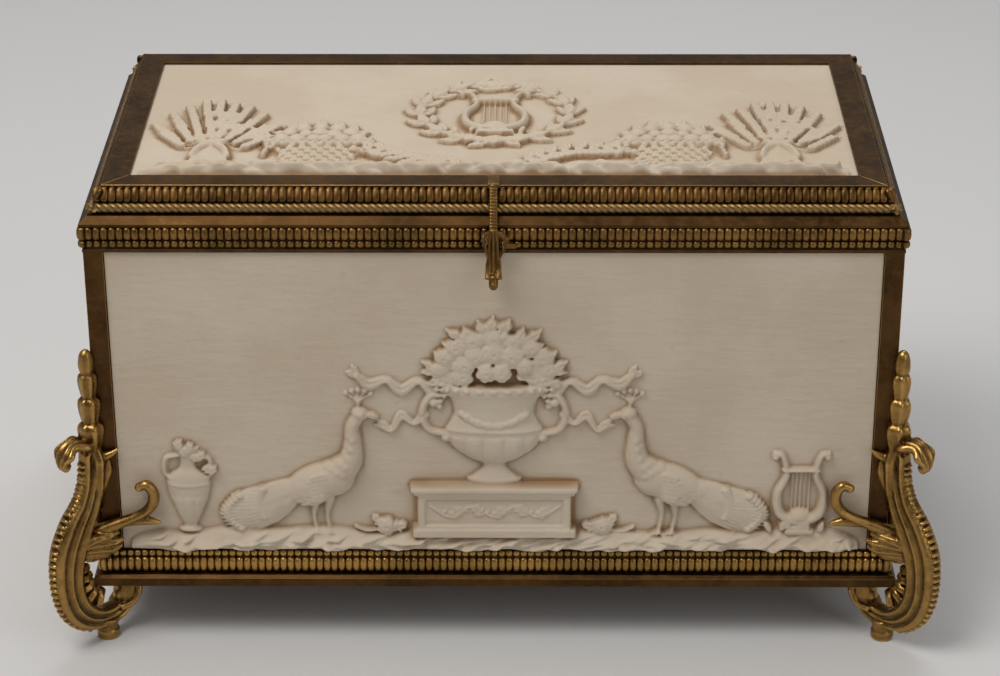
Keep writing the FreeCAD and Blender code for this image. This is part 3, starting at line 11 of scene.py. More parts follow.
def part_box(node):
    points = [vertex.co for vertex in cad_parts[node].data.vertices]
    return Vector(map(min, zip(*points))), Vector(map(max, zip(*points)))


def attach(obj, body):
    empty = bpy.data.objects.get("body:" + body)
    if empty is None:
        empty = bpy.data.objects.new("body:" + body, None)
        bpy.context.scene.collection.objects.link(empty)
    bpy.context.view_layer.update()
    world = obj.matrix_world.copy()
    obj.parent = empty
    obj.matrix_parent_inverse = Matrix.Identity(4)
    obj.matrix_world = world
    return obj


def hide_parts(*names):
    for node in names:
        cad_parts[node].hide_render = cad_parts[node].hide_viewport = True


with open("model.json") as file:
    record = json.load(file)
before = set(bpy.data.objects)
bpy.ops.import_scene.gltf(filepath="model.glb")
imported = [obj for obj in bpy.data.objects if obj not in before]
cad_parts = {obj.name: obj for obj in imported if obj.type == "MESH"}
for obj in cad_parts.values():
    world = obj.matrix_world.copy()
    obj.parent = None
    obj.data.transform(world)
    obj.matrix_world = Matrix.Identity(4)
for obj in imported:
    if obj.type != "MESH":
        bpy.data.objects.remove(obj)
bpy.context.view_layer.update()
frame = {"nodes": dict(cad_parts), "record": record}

bl_info = {
    "name": "Gilt Jewelry Casket",
    "version": (1, 0, 0),
    "blender": (4, 5, 0),
    "location": "3D View > Sidebar > Casket",
    "description": "Dresses the casket's frame with mouldings, scroll feet, bisque reliefs and linings",
    "category": "Object",
}

MM = 0.001
SIDES = ("front", "right", "back", "left")
SIDE_TURN = {"front": 0.0, "right": 90.0, "back": 180.0, "left": 270.0}


# Sizes and colours that a user would change

def length_property(name, description, default):
    return FloatProperty(name=name, description=description, default=default, unit="LENGTH")


def colour_property(name, description, default):
    return FloatVectorProperty(name=name, description=description, default=default, subtype="COLOR", size=3)


class CasketSizes(bpy.types.PropertyGroup):
    """Sizes of the dressing, in metres."""

    reed_pitch: length_property("Reed pitch", "Distance between reeds and between beads", 0.00305)
    strand_pitch: length_property("Strand pitch", "Distance between rope strands", 0.0028)
    panel_thickness: length_property("Panel thickness", "Thickness of a wall panel without its relief", 0.005)
    edge_round: length_property("Edge round", "Worn rounding of the brass frame's edges", 0.00035)
    foot_voxel: length_property("Foot voxel", "Detail size of the cast feet", 0.00045)
    hasp_voxel: length_property("Hasp voxel", "Detail size of the hasp", 0.00022)


class CasketColours(bpy.types.PropertyGroup):
    """Colours of the finishes."""

    frame_gilt: colour_property("Frame gilt", "Dull brown gilding of the frame", (0.150, 0.071, 0.022))
    # Also the colour that crests and rounded edges are brightened toward: part rubbed gilding, part painted
    # highlight.
    bright_gilt: colour_property("Bright gilt", "Cleaner gilding on crests and feet", (0.54, 0.32, 0.095))
    # Colour of the hollows: part real grime, part painted shade in recesses and between parts.
    old_grime: colour_property("Old grime", "Dark dirt in the hollows of the brass", (0.018, 0.011, 0.005))
    verdigris: colour_property("Verdigris", "Green corrosion on the feet", (0.10, 0.15, 0.09))
    bisque: colour_property("Bisque", "Unglazed cream porcelain", (0.60, 0.513, 0.405))
    # Colour round and between the relief: part real tan staining, part painted shade.
    bisque_grime: colour_property("Bisque grime", "Tan dirt round the relief", (0.33, 0.205, 0.105))
    lining: colour_property("Lining", "Faded silk of the inside", (0.23, 0.035, 0.045))
    floor: colour_property("Floor", "Pale studio floor", (0.72, 0.72, 0.72))


def sizes():
    return bpy.context.scene.casket_sizes


def colours():
    return bpy.context.scene.casket_colours


# Shader helpers

class Shader:
    """A node material with short calls to wire it."""

    def __init__(self, name):
        self.material = bpy.data.materials.new(name)
        self.material.use_nodes = True
        self.tree = self.material.node_tree
        self.surface = self.tree.nodes["Principled BSDF"]
        self.place = self.node("ShaderNodeTexCoord").outputs["Object"]

    def node(self, kind, **settings):
        made = self.tree.nodes.new(kind)
        for key, value in settings.items():
            setattr(made, key, value)
        return made

    def feed(self, socket, value):
        if isinstance(value, bpy.types.NodeSocket):
            self.tree.links.new(value, socket)
        elif socket.type == "RGBA":
            socket.default_value = (*value, 1.0)
        else:
            socket.default_value = value

    def set(self, name, value):
        self.feed(self.surface.inputs[name], value)

    def stretched(self, scale):
        mapping = self.node("ShaderNodeMapping")
        self.feed(mapping.inputs["Vector"], self.place)
        mapping.inputs["Scale"].default_value = scale
        return mapping.outputs["Vector"]

    def noise(self, scale, detail=4.0, roughness=0.55, place=None):
        texture = self.node("ShaderNodeTexNoise")
        self.feed(texture.inputs["Vector"], place or self.place)
        texture.inputs["Scale"].default_value = scale
        texture.inputs["Detail"].default_value = detail
        texture.inputs["Roughness"].default_value = roughness
        return texture.outputs["Fac"]

    def reach(self, value, low, high, to_low=0.0, to_high=1.0):
        """Value mapped smoothly from one range to another, held at its ends."""
        mapped = self.node("ShaderNodeMapRange", interpolation_type="SMOOTHSTEP")
        self.feed(mapped.inputs["Value"], value)
        for name, number in (("From Min", low), ("From Max", high), ("To Min", to_low), ("To Max", to_high)):
            mapped.inputs[name].default_value = number
        return mapped.outputs["Result"]

    def math(self, operation, first, second):
        made = self.node("ShaderNodeMath", operation=operation)
        self.feed(made.inputs[0], first)
        self.feed(made.inputs[1], second)
        return made.outputs[0]

    def mix(self, factor, first, second):
        made = self.node("ShaderNodeMix", data_type="RGBA")
        self.feed(made.inputs[0], factor)
        self.feed(made.inputs[6], first)
        self.feed(made.inputs[7], second)
        return made.outputs[2]

    def attribute(self, name):
        return self.node("ShaderNodeAttribute", attribute_name=name).outputs["Fac"]

    def bump(self, height, distance, strength=1.0):
        made = self.node("ShaderNodeBump")
        self.feed(made.inputs["Height"], height)
        made.inputs["Distance"].default_value = distance
        made.inputs["Strength"].default_value = strength
        self.set("Normal", made.outputs["Normal"])


MATERIALS = {}


def finish_of(build):
    """The material that a finish gives, under its own name, built on its first use."""
    name = build.__name__
    if name not in MATERIALS:
        MATERIALS[name] = build(name)
    return MATERIALS[name]


def gilding(name, body, crest, patchiness, roughness, green=0.0):
    """Old fire gilding: patchy body colour, crests brightened as rubbed gilding and painted highlight,
    hollows darkened as grime and painted shade.
    """
    shader = Shader(name)
    patches = shader.noise(38.0, 6.0, 0.6)
    mottle = shader.noise(330.0, 5.0, 0.65)
    hollow = shader.attribute("hollow")
    wear_and_highlight = shader.attribute("wear_and_highlight")
    deep = tuple(channel * 0.55 for channel in body)
    tone = shader.mix(shader.reach(patches, 0.36, 0.64), deep, body)
    tone = shader.mix(shader.reach(mottle, 0.42, 0.72, 0.0, patchiness), tone, crest)
    # Crests and rounded edges brightened toward the crest colour: part rubbed gilding, part painted
    # highlight.
    tone = shader.mix(shader.reach(wear_and_highlight, 0.1, 0.9, 0.0, 0.85), tone, crest)
    # Hollows darkened toward the grime colour, patchily: part real grime, part painted shade in recesses and
    # between parts.
    patchy_darkening = shader.reach(mottle, 0.2, 0.6, 0.65, 1.0)
    grime_and_shade = shader.math("MULTIPLY", shader.reach(hollow, 0.05, 0.85), patchy_darkening)
    tone = shader.mix(grime_and_shade, tone, tuple(colours().old_grime))
    if green:
        bloom = shader.noise(62.0, 3.0)
        damp = shader.reach(hollow, 0.1, 0.6)
        spots = shader.math("MULTIPLY", shader.reach(bloom, 0.57, 0.68, 0.0, green), damp)
        tone = shader.mix(spots, tone, tuple(colours().verdigris))
    shader.set("Base Color", tone)
    shader.set("Metallic", 0.96)
    dull = shader.math("ADD", shader.reach(mottle, 0.3, 0.7, roughness - 0.08, roughness + 0.12),
                       shader.reach(hollow, 0.1, 0.9, 0.0, 0.25))
    shader.set("Roughness", dull)
    shader.bump(shader.noise(900.0, 4.0, 0.7), 0.00012, 0.5)
    return shader.material


def between(share, dull, bright):
    """A colour part of the way from one to another."""
    return tuple((1 - share) * a + share * b for a, b in zip(dull, bright))


def gilt_blend(share):
    return between(share, colours().frame_gilt, colours().bright_gilt)


def aged_frame_gilt(name):
    return gilding(name, between(0.4, gilt_blend(0.0), colours().old_grime), gilt_blend(0.6), 0.12, 0.42)


def moulding_gilt(name):
    return gilding(name, gilt_blend(0.26), gilt_blend(0.9), 0.3, 0.34)


def lid_gilt(name):
    """The lid bead's gilding, rubbed thinner by hands."""
    return gilding(name, gilt_blend(0.08), gilt_blend(0.72), 0.3, 0.38)


def base_gilt(name):
    """The base moulding's gilding, painted brighter than the rim's as painted light, since the base gets less
    light.
    """
    return gilding(name, gilt_blend(0.8), gilt_blend(1.0), 0.3, 0.3)


def rope_gilt(name):
    """The rope's thinner gilding, greyed by old polish."""
    grey = (0.16, 0.117, 0.07)
    return gilding(name, between(0.6, gilt_blend(0.2), grey), between(0.5, gilt_blend(0.9), grey), 0.3, 0.42)


def foot_gilt(name):
    return gilding(name, gilt_blend(0.42), gilt_blend(1.0), 0.4, 0.3, green=0.6)


def hasp_bronze(name):
    return gilding(name, gilt_blend(0.14), gilt_blend(0.75), 0.3, 0.36)


def dull_steel(name):
    shader = Shader(name)
    mottle = shader.noise(420.0, 4.0)
    worn = shader.reach(mottle, 0.35, 0.65)
    shader.set("Base Color", shader.mix(worn, (0.20, 0.18, 0.16), (0.38, 0.36, 0.33)))
    shader.set("Metallic", 1.0)
    shader.set("Roughness", shader.reach(mottle, 0.3, 0.7, 0.3, 0.5))
    return shader.material


def bisque(name):
    """Unglazed porcelain with brushed ground, fine pits, and tan darkening round and between the relief: part
    real staining, part painted shade.
    """
    shader = Shader(name)
    hollow = shader.attribute("hollow")
    cloud = shader.noise(16.0, 5.0, 0.6)
    speck = shader.noise(240.0, 4.0, 0.6)
    base = tuple(colours().bisque)
    warm = (base[0] * 0.92, base[1] * 0.89, base[2] * 0.85)
    tone = shader.mix(shader.reach(cloud, 0.35, 0.68), warm, base)
    dark = tuple(channel * 0.6 for channel in base)
    tone = shader.mix(shader.reach(speck, 0.62, 0.75, 0.0, 0.25), tone, dark)
    # Tan darkening in hollows and round the foot of raised forms: part real staining, part painted shade.
    tan = shader.math("MULTIPLY", shader.reach(hollow, 0.08, 0.95), shader.reach(cloud, 0.3, 0.62, 0.45, 1.0))
    tone = shader.mix(tan, tone, tuple(colours().bisque_grime))
    shader.set("Base Color", tone)
    shader.set("Roughness", 0.72)
    shader.set("Specular IOR Level", 0.32)
    brushed = shader.noise(210.0, 4.0, 0.55, shader.stretched((0.4, 1.0, 1.5)))
    shader.bump(shader.math("ADD", brushed, shader.math("MULTIPLY", speck, 0.3)), 0.0007, 0.55)
    return shader.material


def faded_silk(name):
    """Faded ribbed silk with a soft sheen, and painted shade in its creases."""
    shader = Shader(name)
    fade = shader.noise(22.0, 4.0)
    base = tuple(colours().lining)
    pale = tuple(min(1.0, channel * 1.5 + 0.015) for channel in base)
    rib = shader.node("ShaderNodeTexWave", wave_type="BANDS", bands_direction="DIAGONAL")
    shader.feed(rib.inputs["Vector"], shader.place)
    rib.inputs["Scale"].default_value = 900.0
    rib.inputs["Distortion"].default_value = 0.6
    tone = shader.mix(shader.reach(fade, 0.35, 0.7), base, pale)
    tone = shader.mix(shader.reach(rib.outputs["Fac"], 0.3, 0.8, 0.0, 0.25), tone, pale)
    # Painted shade: creases and tuft hollows of the pad darkened toward a deep tone of the lining.
    crease = shader.reach(shader.attribute("hollow"), 0.1, 0.9, 0.0, 0.8)
    tone = shader.mix(crease, tone, tuple(0.35 * channel for channel in base))
    shader.set("Base Color", tone)
    shader.set("Roughness", shader.reach(fade, 0.3, 0.7, 0.42, 0.6))
    shader.set("Sheen Weight", 0.5)
    shader.set("Sheen Roughness", 0.35)
    shader.bump(rib.outputs["Fac"], 0.00006, 0.6)
    return shader.material


def plain_wood(name):
    shader = Shader(name)
    grain = shader.noise(26.0, 6.0, 0.6, shader.stretched((0.25, 3.0, 3.0)))
    pores = shader.noise(160.0, 3.0, 0.5, shader.stretched((0.1, 3.0, 3.0)))
    tone = shader.mix(shader.reach(grain, 0.3, 0.7), (0.13, 0.065, 0.028), (0.27, 0.155, 0.075))
    tone = shader.mix(shader.reach(pores, 0.55, 0.7, 0.0, 0.6), tone, (0.05, 0.026, 0.012))
    shader.set("Base Color", tone)
    shader.set("Roughness", shader.reach(grain, 0.3, 0.7, 0.5, 0.7))
    shader.bump(pores, 0.0002, 0.4)
    return shader.material


def studio_paper(name):
    shader = Shader(name)
    mottle = shader.noise(3.0, 2.0)
    base = tuple(colours().floor)
    shader.set("Base Color", shader.mix(mottle, base, tuple(channel * 0.97 for channel in base)))
    shader.set("Roughness", 0.85)
    return shader.material


# Mesh helpers

def stand(name, data):
    """A new object in the scene."""
    item = bpy.data.objects.new(name, data)
    bpy.context.scene.collection.objects.link(item)
    return item


def about_z(degrees):
    return Matrix.Rotation(math.radians(degrees), 4, "Z")


def new_piece(name, mesh, material, body, nodes=()):
    """A mesh as a finished piece of the casket."""
    piece = stand(name, mesh)
    mesh.materials.clear()
    mesh.materials.append(material)
    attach(piece, body)
    if nodes:
        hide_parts(*nodes)
    return piece


def mesh_from(name, points, faces):
    mesh = bpy.data.meshes.new(name)
    mesh.from_pydata(np.asarray(points, float).tolist(), [], [list(face) for face in faces])
    mesh.validate()
    mesh.update()
    return mesh


def store(mesh, name, values):
    """A named number on every vertex."""
    layer = mesh.attributes.get(name) or mesh.attributes.new(name, "FLOAT", "POINT")
    layer.data.foreach_set("value", np.asarray(values, np.float32))


def read_array(items, name, width, kind):
    """One row of numbers for every item of a mesh."""
    values = np.empty(len(items) * width, kind)
    items.foreach_get(name, values)
    return values.reshape(-1, width)


def vertex_array(mesh):
    return read_array(mesh.vertices, "co", 3, np.float32).astype(float)


def neighbour_mean(values, edges, count):
    """The mean of each vertex's neighbours along its edges."""
    total = np.zeros((count, values.shape[1]))
    for column in range(values.shape[1]):
        total[:, column] = (np.bincount(edges[:, 0], values[edges[:, 1], column], count)
                            + np.bincount(edges[:, 1], values[edges[:, 0], column], count))
    degree = np.bincount(edges.ravel(), minlength=count)
    return total / np.maximum(degree, 1)[:, None]


def mark_hollows(mesh, rounds, depth):
    """Store how far each vertex lies below its smoothed surroundings as hollow, which the finishes darken as
    grime and painted shade, and how far above for the gilding to brighten as rubbed gilding and painted
    highlight.
    """
    points = vertex_array(mesh)
    edges = read_array(mesh.edges, "vertices", 2, np.int32)
    smooth = points.copy()
    for _ in range(rounds):
        smooth = 0.5 * smooth + 0.5 * neighbour_mean(smooth, edges, len(points))
    normals = read_array(mesh.vertex_normals, "vector", 3, np.float32).astype(float)
    lift = np.einsum("ij,ij->i", points - smooth, normals) / depth
    store(mesh, "hollow", np.clip(-lift, 0.0, 1.0))
    store(mesh, "wear_and_highlight", np.clip(lift, 0.0, 1.0))


def settle(shape, mesh):
    """Write a shape to its mesh, its faces outwards."""
    bmesh.ops.recalc_face_normals(shape, faces=shape.faces)
    shape.to_mesh(mesh)
    shape.free()


def open_edges(shape):
    return [edge for edge in shape.edges if len(edge.link_faces) == 1]


def close_back(shape):
    """Fill the one open side of a shape."""
    edges = open_edges(shape)
    bmesh.ops.triangle_fill(shape, use_beauty=False, use_dissolve=False, edges=edges, normal=(0, 0, -1))


def closed_over(mesh, level):
    """Drop walls from an open sheet's rim to a level and close the back."""
    shape = bmesh.new()
    shape.from_mesh(mesh)
    for item in bmesh.ops.extrude_edge_only(shape, edges=open_edges(shape))["geom"]:
        if isinstance(item, bmesh.types.BMVert):
            item.co.z = level
    close_back(shape)
    settle(shape, mesh)


def evaluated_mesh(holder, name):
    """The plain mesh that an object's modifiers give; the object is removed."""
    depsgraph = bpy.context.evaluated_depsgraph_get()
    mesh = bpy.data.meshes.new_from_object(holder.evaluated_get(depsgraph), depsgraph=depsgraph)
    mesh.name = name
    source = holder.data
    bpy.data.objects.remove(holder)
    if source.users == 0 and isinstance(source, bpy.types.Mesh):
        bpy.data.meshes.remove(source)
    return mesh


def fused_mesh(name, parts, voxel, smoothing):
    """One watertight mesh from overlapping closed parts, given as (points, faces)."""
    points = []
    faces = []
    for part_points, part_faces in parts:
        faces.extend([[index + len(points) for index in face] for face in part_faces])
        points.extend(np.asarray(part_points, float).tolist())
    holder = stand(name, mesh_from(name, points, faces))
    remesh = holder.modifiers.new("fuse", "REMESH")
    remesh.mode = "VOXEL"
    remesh.voxel_size = voxel
    smooth = holder.modifiers.new("soften", "SMOOTH")
    smooth.factor = 0.5
    smooth.iterations = smoothing
    mesh = evaluated_mesh(holder, name)
    mesh.shade_smooth()
    return mesh


# Frame: rails, posts and plates with worn edges

WELD = 1e-6
FLAT_DEGREES = 1.0
SHARP_ANGLE = 0.3


def worn_copy(node, edge_round):
    """A copy of a node's mesh with its sharp edges rounded and the rounding marked for the gilding to
    brighten as rubbed gilding and painted highlight.
    """
    shape = bmesh.new()
    shape.from_mesh(frame["nodes"][node].data)
    bmesh.ops.remove_doubles(shape, verts=shape.verts, dist=WELD)
    bmesh.ops.dissolve_limit(
        shape, angle_limit=math.radians(FLAT_DEGREES), use_dissolve_boundaries=False,
        verts=shape.verts, edges=shape.edges)
    joints = [edge for edge in shape.edges if len(edge.link_faces) == 2]
    sharp = [edge for edge in joints if edge.calc_face_angle() > SHARP_ANGLE]
    made = bmesh.ops.bevel(
        shape, geom=sharp, offset=edge_round, offset_type="OFFSET", segments=2, profile=0.5, affect="EDGES",
        clamp_overlap=True)
    rounded = set(made["faces"])
    bmesh.ops.recalc_face_normals(shape, faces=shape.faces)
    wear_and_highlight = [1.0 if all(face in rounded for face in vertex.link_faces) else 0.0 for vertex in shape.verts]
    for face in shape.faces:
        face.smooth = face in rounded
    mesh = bpy.data.meshes.new(node + "_worn")
    shape.to_mesh(mesh)
    shape.free()
    store(mesh, "wear_and_highlight", wear_and_highlight)
    return mesh


def dress_frame():
    gilt = finish_of(aged_frame_gilt)
    for body, members in frame["record"]["behaviour"]["bodies"].items():
        for node in members:
            if node.endswith(("_rail", "_post")):
                mesh = worn_copy(node, sizes().edge_round)
                new_piece(node + "_worn", mesh, gilt, body, [node])


# Mouldings: reeds and beads set along strips

class Weave:
    """Short calls to wire a Geometry Nodes tree."""

    def __init__(self, name, inputs):
        self.tree = bpy.data.node_groups.new(name, "GeometryNodeTree")
        self.identifiers = {}
        for input_name, kind in inputs:
            socket = self.tree.interface.new_socket(name=input_name, in_out="INPUT", socket_type=kind)
            self.identifiers[input_name] = socket.identifier
        self.tree.interface.new_socket(name="Geometry", in_out="OUTPUT", socket_type="NodeSocketGeometry")
        self.given = self.tree.nodes.new("NodeGroupInput").outputs
        self.result = self.tree.nodes.new("NodeGroupOutput")

    def node(self, kind, feeds=None, **settings):
        made = self.tree.nodes.new(kind)
        for key, value in settings.items():
            setattr(made, key, value)
        for key, value in (feeds or {}).items():
            socket = made.inputs[key]
            if isinstance(value, bpy.types.NodeSocket):
                self.tree.links.new(value, socket)
            else:
                socket.default_value = value
        return made

    def math(self, operation, first, second=0.0):
        return self.node("ShaderNodeMath", {0: first, 1: second}, operation=operation).outputs[0]

    def vector(self, x=0.0, y=0.0, z=0.0):
        return self.node("ShaderNodeCombineXYZ", {"X": x, "Y": y, "Z": z}).outputs[0]

    def split(self, vector):
        return self.node("ShaderNodeSeparateXYZ", {0: vector}).outputs

    def marked(self, geometry, hollow):
        """The geometry with its hollows stored for the gilding, which darkens them as grime and painted
        shade.
        """
        feeds = {"Geometry": geometry, "Name": "hollow", "Value": hollow}
        return self.node("GeometryNodeStoreNamedAttribute", feeds, data_type="FLOAT").outputs[0]

    def end(self, pieces):
        """Join, realise, give the material and hand out."""
        joined = self.node("GeometryNodeJoinGeometry")
        for piece in pieces:
            self.tree.links.new(piece, joined.inputs[0])
        real = self.node("GeometryNodeRealizeInstances", {0: joined.outputs[0]})
        smooth = self.node("GeometryNodeSetShadeSmooth", {0: real.outputs[0]})
        feeds = {0: smooth.outputs[0], "Material": self.given["Material"]}
        painted = self.node("GeometryNodeSetMaterial", feeds)
        self.tree.links.new(painted.outputs[0], self.result.inputs[0])
        return self

    def run(self, name, values):
        """The plain mesh that the tree gives for these inputs."""
        holder = stand(name, bpy.data.meshes.new(name))
        modifier = holder.modifiers.new("weave", "NODES")
        modifier.node_group = self.tree
        for input_name, value in values.items():
            modifier[self.identifiers[input_name]] = value
        return evaluated_mesh(holder, name)


REED_SQUARENESS = 0.7
REED_WIDTH = 1.12
# How dark the backing bar behind the reeds is painted: painted shade in the gaps between reeds.
BAR_SHADE = 0.8
BAR_BACK = 0.98
BAR_DEPTH = 0.45
LID_REED_TILT = -0.55


def reed_shape(weave, size, tilt):
    """A barrel with a squarish section whose sides and back are marked as hollow, darker the further back
    they lie, as painted shade in the grooves.
    """
    globe = weave.node("GeometryNodeMeshUVSphere", {"Segments": 16, "Rings": 9, "Radius": 0.5}).outputs[0]
    place = weave.node("GeometryNodeInputPosition").outputs[0]
    x, y, z = weave.split(place)
    flat = weave.vector(x, y)
    radius = weave.node("ShaderNodeVectorMath", {0: flat}, operation="LENGTH").outputs["Value"]
    doubled = weave.math("MAXIMUM", weave.math("MULTIPLY", radius, 2.0), 0.05)
    fuller = weave.math("POWER", doubled, -0.55)
    sides = []
    for way in (x, y):
        share = weave.math("DIVIDE", way, weave.math("MAXIMUM", radius, 0.001))
        boxed = weave.math("POWER", weave.math("ABSOLUTE", share), REED_SQUARENESS)
        signed = weave.math("MULTIPLY", boxed, weave.math("SIGN", share))
        sides.append(weave.math("MULTIPLY", weave.math("MULTIPLY", signed, radius), fuller))
    barrel = weave.vector(*sides, z)
    rounded = weave.node("GeometryNodeSetPosition", {"Geometry": globe, "Position": barrel}).outputs[0]
    # Painted shade: the reed is marked darker the further back it lies toward the bar.
    depth = weave.node("ShaderNodeMapRange", {"Value": y, 1: -0.04, 2: 0.26}).outputs[0]
    shaped = weave.node("GeometryNodeTransform", {"Geometry": weave.marked(rounded, depth), "Scale": size})
    feeds = {"Geometry": shaped.outputs[0], "Rotation": weave.vector(tilt)}
    return weave.node("GeometryNodeTransform", feeds).outputs[0]


def row_of(weave, shape, count, step, place):
    """Copies of a shape along X, the row's middle at that place."""
    half_run = weave.math("MULTIPLY", weave.math("SUBTRACT", count, 1.0), weave.math("MULTIPLY", step, -0.5))
    shift = weave.vector(half_run)
    start = weave.node("ShaderNodeVectorMath", {0: place, 1: shift}, operation="ADD").outputs[0]
    line = weave.node(
        "GeometryNodeMeshLine", {"Count": count, "Start Location": start, "Offset": weave.vector(step)})
    feeds = {"Points": line.outputs[0], "Instance": shape}
    return weave.node("GeometryNodeInstanceOnPoints", feeds).outputs[0]


def moulding_weave():
    """A strip: a backing bar, a row of reeds and a row of beads."""
    vectors = [f"{part} {kind}" for part in ("Reed", "Bead", "Bar") for kind in ("size", "place")]
    weave = Weave("Reeded strip", [
        *((name, "NodeSocketFloat") for name in ("Length", "Pitch", "Reed tilt")),
        *((name, "NodeSocketVector") for name in vectors),
        ("Material", "NodeSocketMaterial"),
    ])
    given = weave.given
    count = weave.math("FLOOR", weave.math("DIVIDE", given["Length"], given["Pitch"]))
    step = weave.math("DIVIDE", given["Length"], count)
    reed = reed_shape(weave, given["Reed size"], given["Reed tilt"])
    bead = reed_shape(weave, given["Bead size"], 0.0)
    reeds = row_of(weave, reed, count, step, given["Reed place"])
    beads = row_of(weave, bead, count, step, given["Bead place"])
    bar = weave.node("GeometryNodeMeshCube", {"Size": given["Bar size"]}).outputs[0]
    # The backing bar is marked as hollow throughout, painted dark as shade in the gaps between reeds.
    feeds = {"Geometry": weave.marked(bar, BAR_SHADE), "Translation": given["Bar place"]}
    return weave.end([reeds, beads, weave.node("GeometryNodeTransform", feeds).outputs[0]])


def side_of(node):
    return next(side for side in SIDES if f"_{side}_" in node or node.startswith(side))


def strip_span(node):
    """Where a strip lies in its side's own frame: X along it, Y inwards, Z up."""
    turn = about_z(-SIDE_TURN[side_of(node)])
    corners = [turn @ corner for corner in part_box(node)]
    low = Vector(map(min, *corners))
    high = Vector(map(max, *corners))
    return low, high


def lay_strip(mesh, node, middle):
    """Turn a strip's mesh from its own frame to its side of the casket."""
    mesh.transform(about_z(SIDE_TURN[side_of(node)]) @ Matrix.Translation(middle))
    mesh.shade_smooth()


REED_KINDS = {
    # Shares of the strip's height: reed band low and high, bead band low and high
    "rim": {"reed": (0.425, 0.995), "bead": (0.085, 0.375)},
    "base": {"reed": (0.045, 0.705), "bead": (0.735, 0.995)},
    "lid": {"reed": (0.0, 1.0), "bead": None},
}


def dress_mouldings():
    weave = moulding_weave()
    gilts = {
        "base": finish_of(base_gilt),
        "rim": finish_of(moulding_gilt),
        "lid": finish_of(lid_gilt),
    }
    pitch = sizes().reed_pitch
    for body, members in frame["record"]["behaviour"]["bodies"].items():
        for node in members:
            if not node.endswith(("_moulding", "_bead")):
                continue
            place = node.split("_")[0]
            kind = REED_KINDS[place]
            gilt = gilts[place]
            low, high = strip_span(node)
            length = high.x - low.x
            height = high.z - low.z
            depth = high.y - low.y
            middle = Vector(((low.x + high.x) / 2, low.y, low.z))
            reed_low, reed_high = (share * height for share in kind["reed"])
            back = depth * BAR_BACK
            thin = depth * BAR_DEPTH
            bar_low = low.x + (back if low.x < 0 else 0.0)
            bar_high = high.x - (back if high.x > 0 else 0.0)
            values = {
                "Length": length,
                "Pitch": pitch,
                "Reed size": (pitch * REED_WIDTH, depth * 1.5, reed_high - reed_low),
                "Reed place": (0.0, depth * 0.75, (reed_low + reed_high) / 2),
                "Reed tilt": 0.0,
                "Bar size": (bar_high - bar_low, thin, height),
                "Bar place": ((bar_low + bar_high) / 2 - middle.x, back - thin / 2, height / 2),
                "Material": gilt,
            }
            if kind["bead"]:
                bead_low, bead_high = (share * height for share in kind["bead"])
                bead = bead_high - bead_low
                values["Bead size"] = (pitch * 0.98, bead * 1.1, bead)
                values["Bead place"] = (0.0, depth * 0.36 + bead * 0.45, (bead_low + bead_high) / 2)
            else:
                ovolo = math.hypot(height, depth) * 0.98
                values["Reed size"] = (pitch * REED_WIDTH, depth * 0.62, ovolo)
                values["Reed place"] = (0.0, depth * 0.5, height * 0.47)
                values["Reed tilt"] = LID_REED_TILT
                values["Bead size"] = (pitch * 0.5, pitch * 0.3, pitch * 0.3)
                values["Bead place"] = (0.0, depth * 0.75, height * 0.2)
            mesh = weave.run(node + "_reeds", values)
            lay_strip(mesh, node, middle)
            new_piece(node + "_reeds", mesh, gilt, body, [node])


# Rope: three strands twisted round a straight run

ROPE_STRANDS = 3
ROPE_FULLNESS = 1.02
STRAND_SHARE = 0.56
STEPS_IN_LEAD = 11
HINGE_PLAY = 0.0003
ROPE_HOLLOWS = (6, 0.0007)


def rope_weave():
    weave = Weave("Twisted strands", [
        ("Length", "NodeSocketFloat"), ("Lead", "NodeSocketFloat"), ("Rope radius", "NodeSocketFloat"),
        ("Strand radius", "NodeSocketFloat"), ("Steps", "NodeSocketInt"), ("Material", "NodeSocketMaterial"),
    ])
    given = weave.given
    half = weave.math("MULTIPLY", given["Length"], 0.5)
    line = weave.node("GeometryNodeCurvePrimitiveLine", {
        "Start": weave.vector(weave.math("MULTIPLY", half, -1.0)), "End": weave.vector(half)})
    fine = weave.node("GeometryNodeResampleCurve", {"Curve": line.outputs[0], "Count": given["Steps"]})
    along = weave.split(weave.node("GeometryNodeInputPosition").outputs[0])[0]
    turn = weave.math("MULTIPLY", weave.math("DIVIDE", along, given["Lead"]), 2 * math.pi)
    offset = weave.math("SUBTRACT", given["Rope radius"], given["Strand radius"])
    ring = weave.node("GeometryNodeCurvePrimitiveCircle", {"Resolution": 7, "Radius": given["Strand radius"]})
    strands = []
    for number in range(ROPE_STRANDS):
        phase = weave.math("ADD", turn, number * 2 * math.pi / ROPE_STRANDS)
        shift = weave.vector(
            0.0,
            weave.math("MULTIPLY", weave.math("COSINE", phase), offset),
            weave.math("MULTIPLY", weave.math("SINE", phase), offset))
        wound = weave.node("GeometryNodeSetPosition", {"Geometry": fine.outputs[0], "Offset": shift})
        feeds = {"Curve": wound.outputs[0], "Profile Curve": ring.outputs[0], "Fill Caps": True}
        strands.append(weave.node("GeometryNodeCurveToMesh", feeds).outputs[0])
    return weave.end(strands)


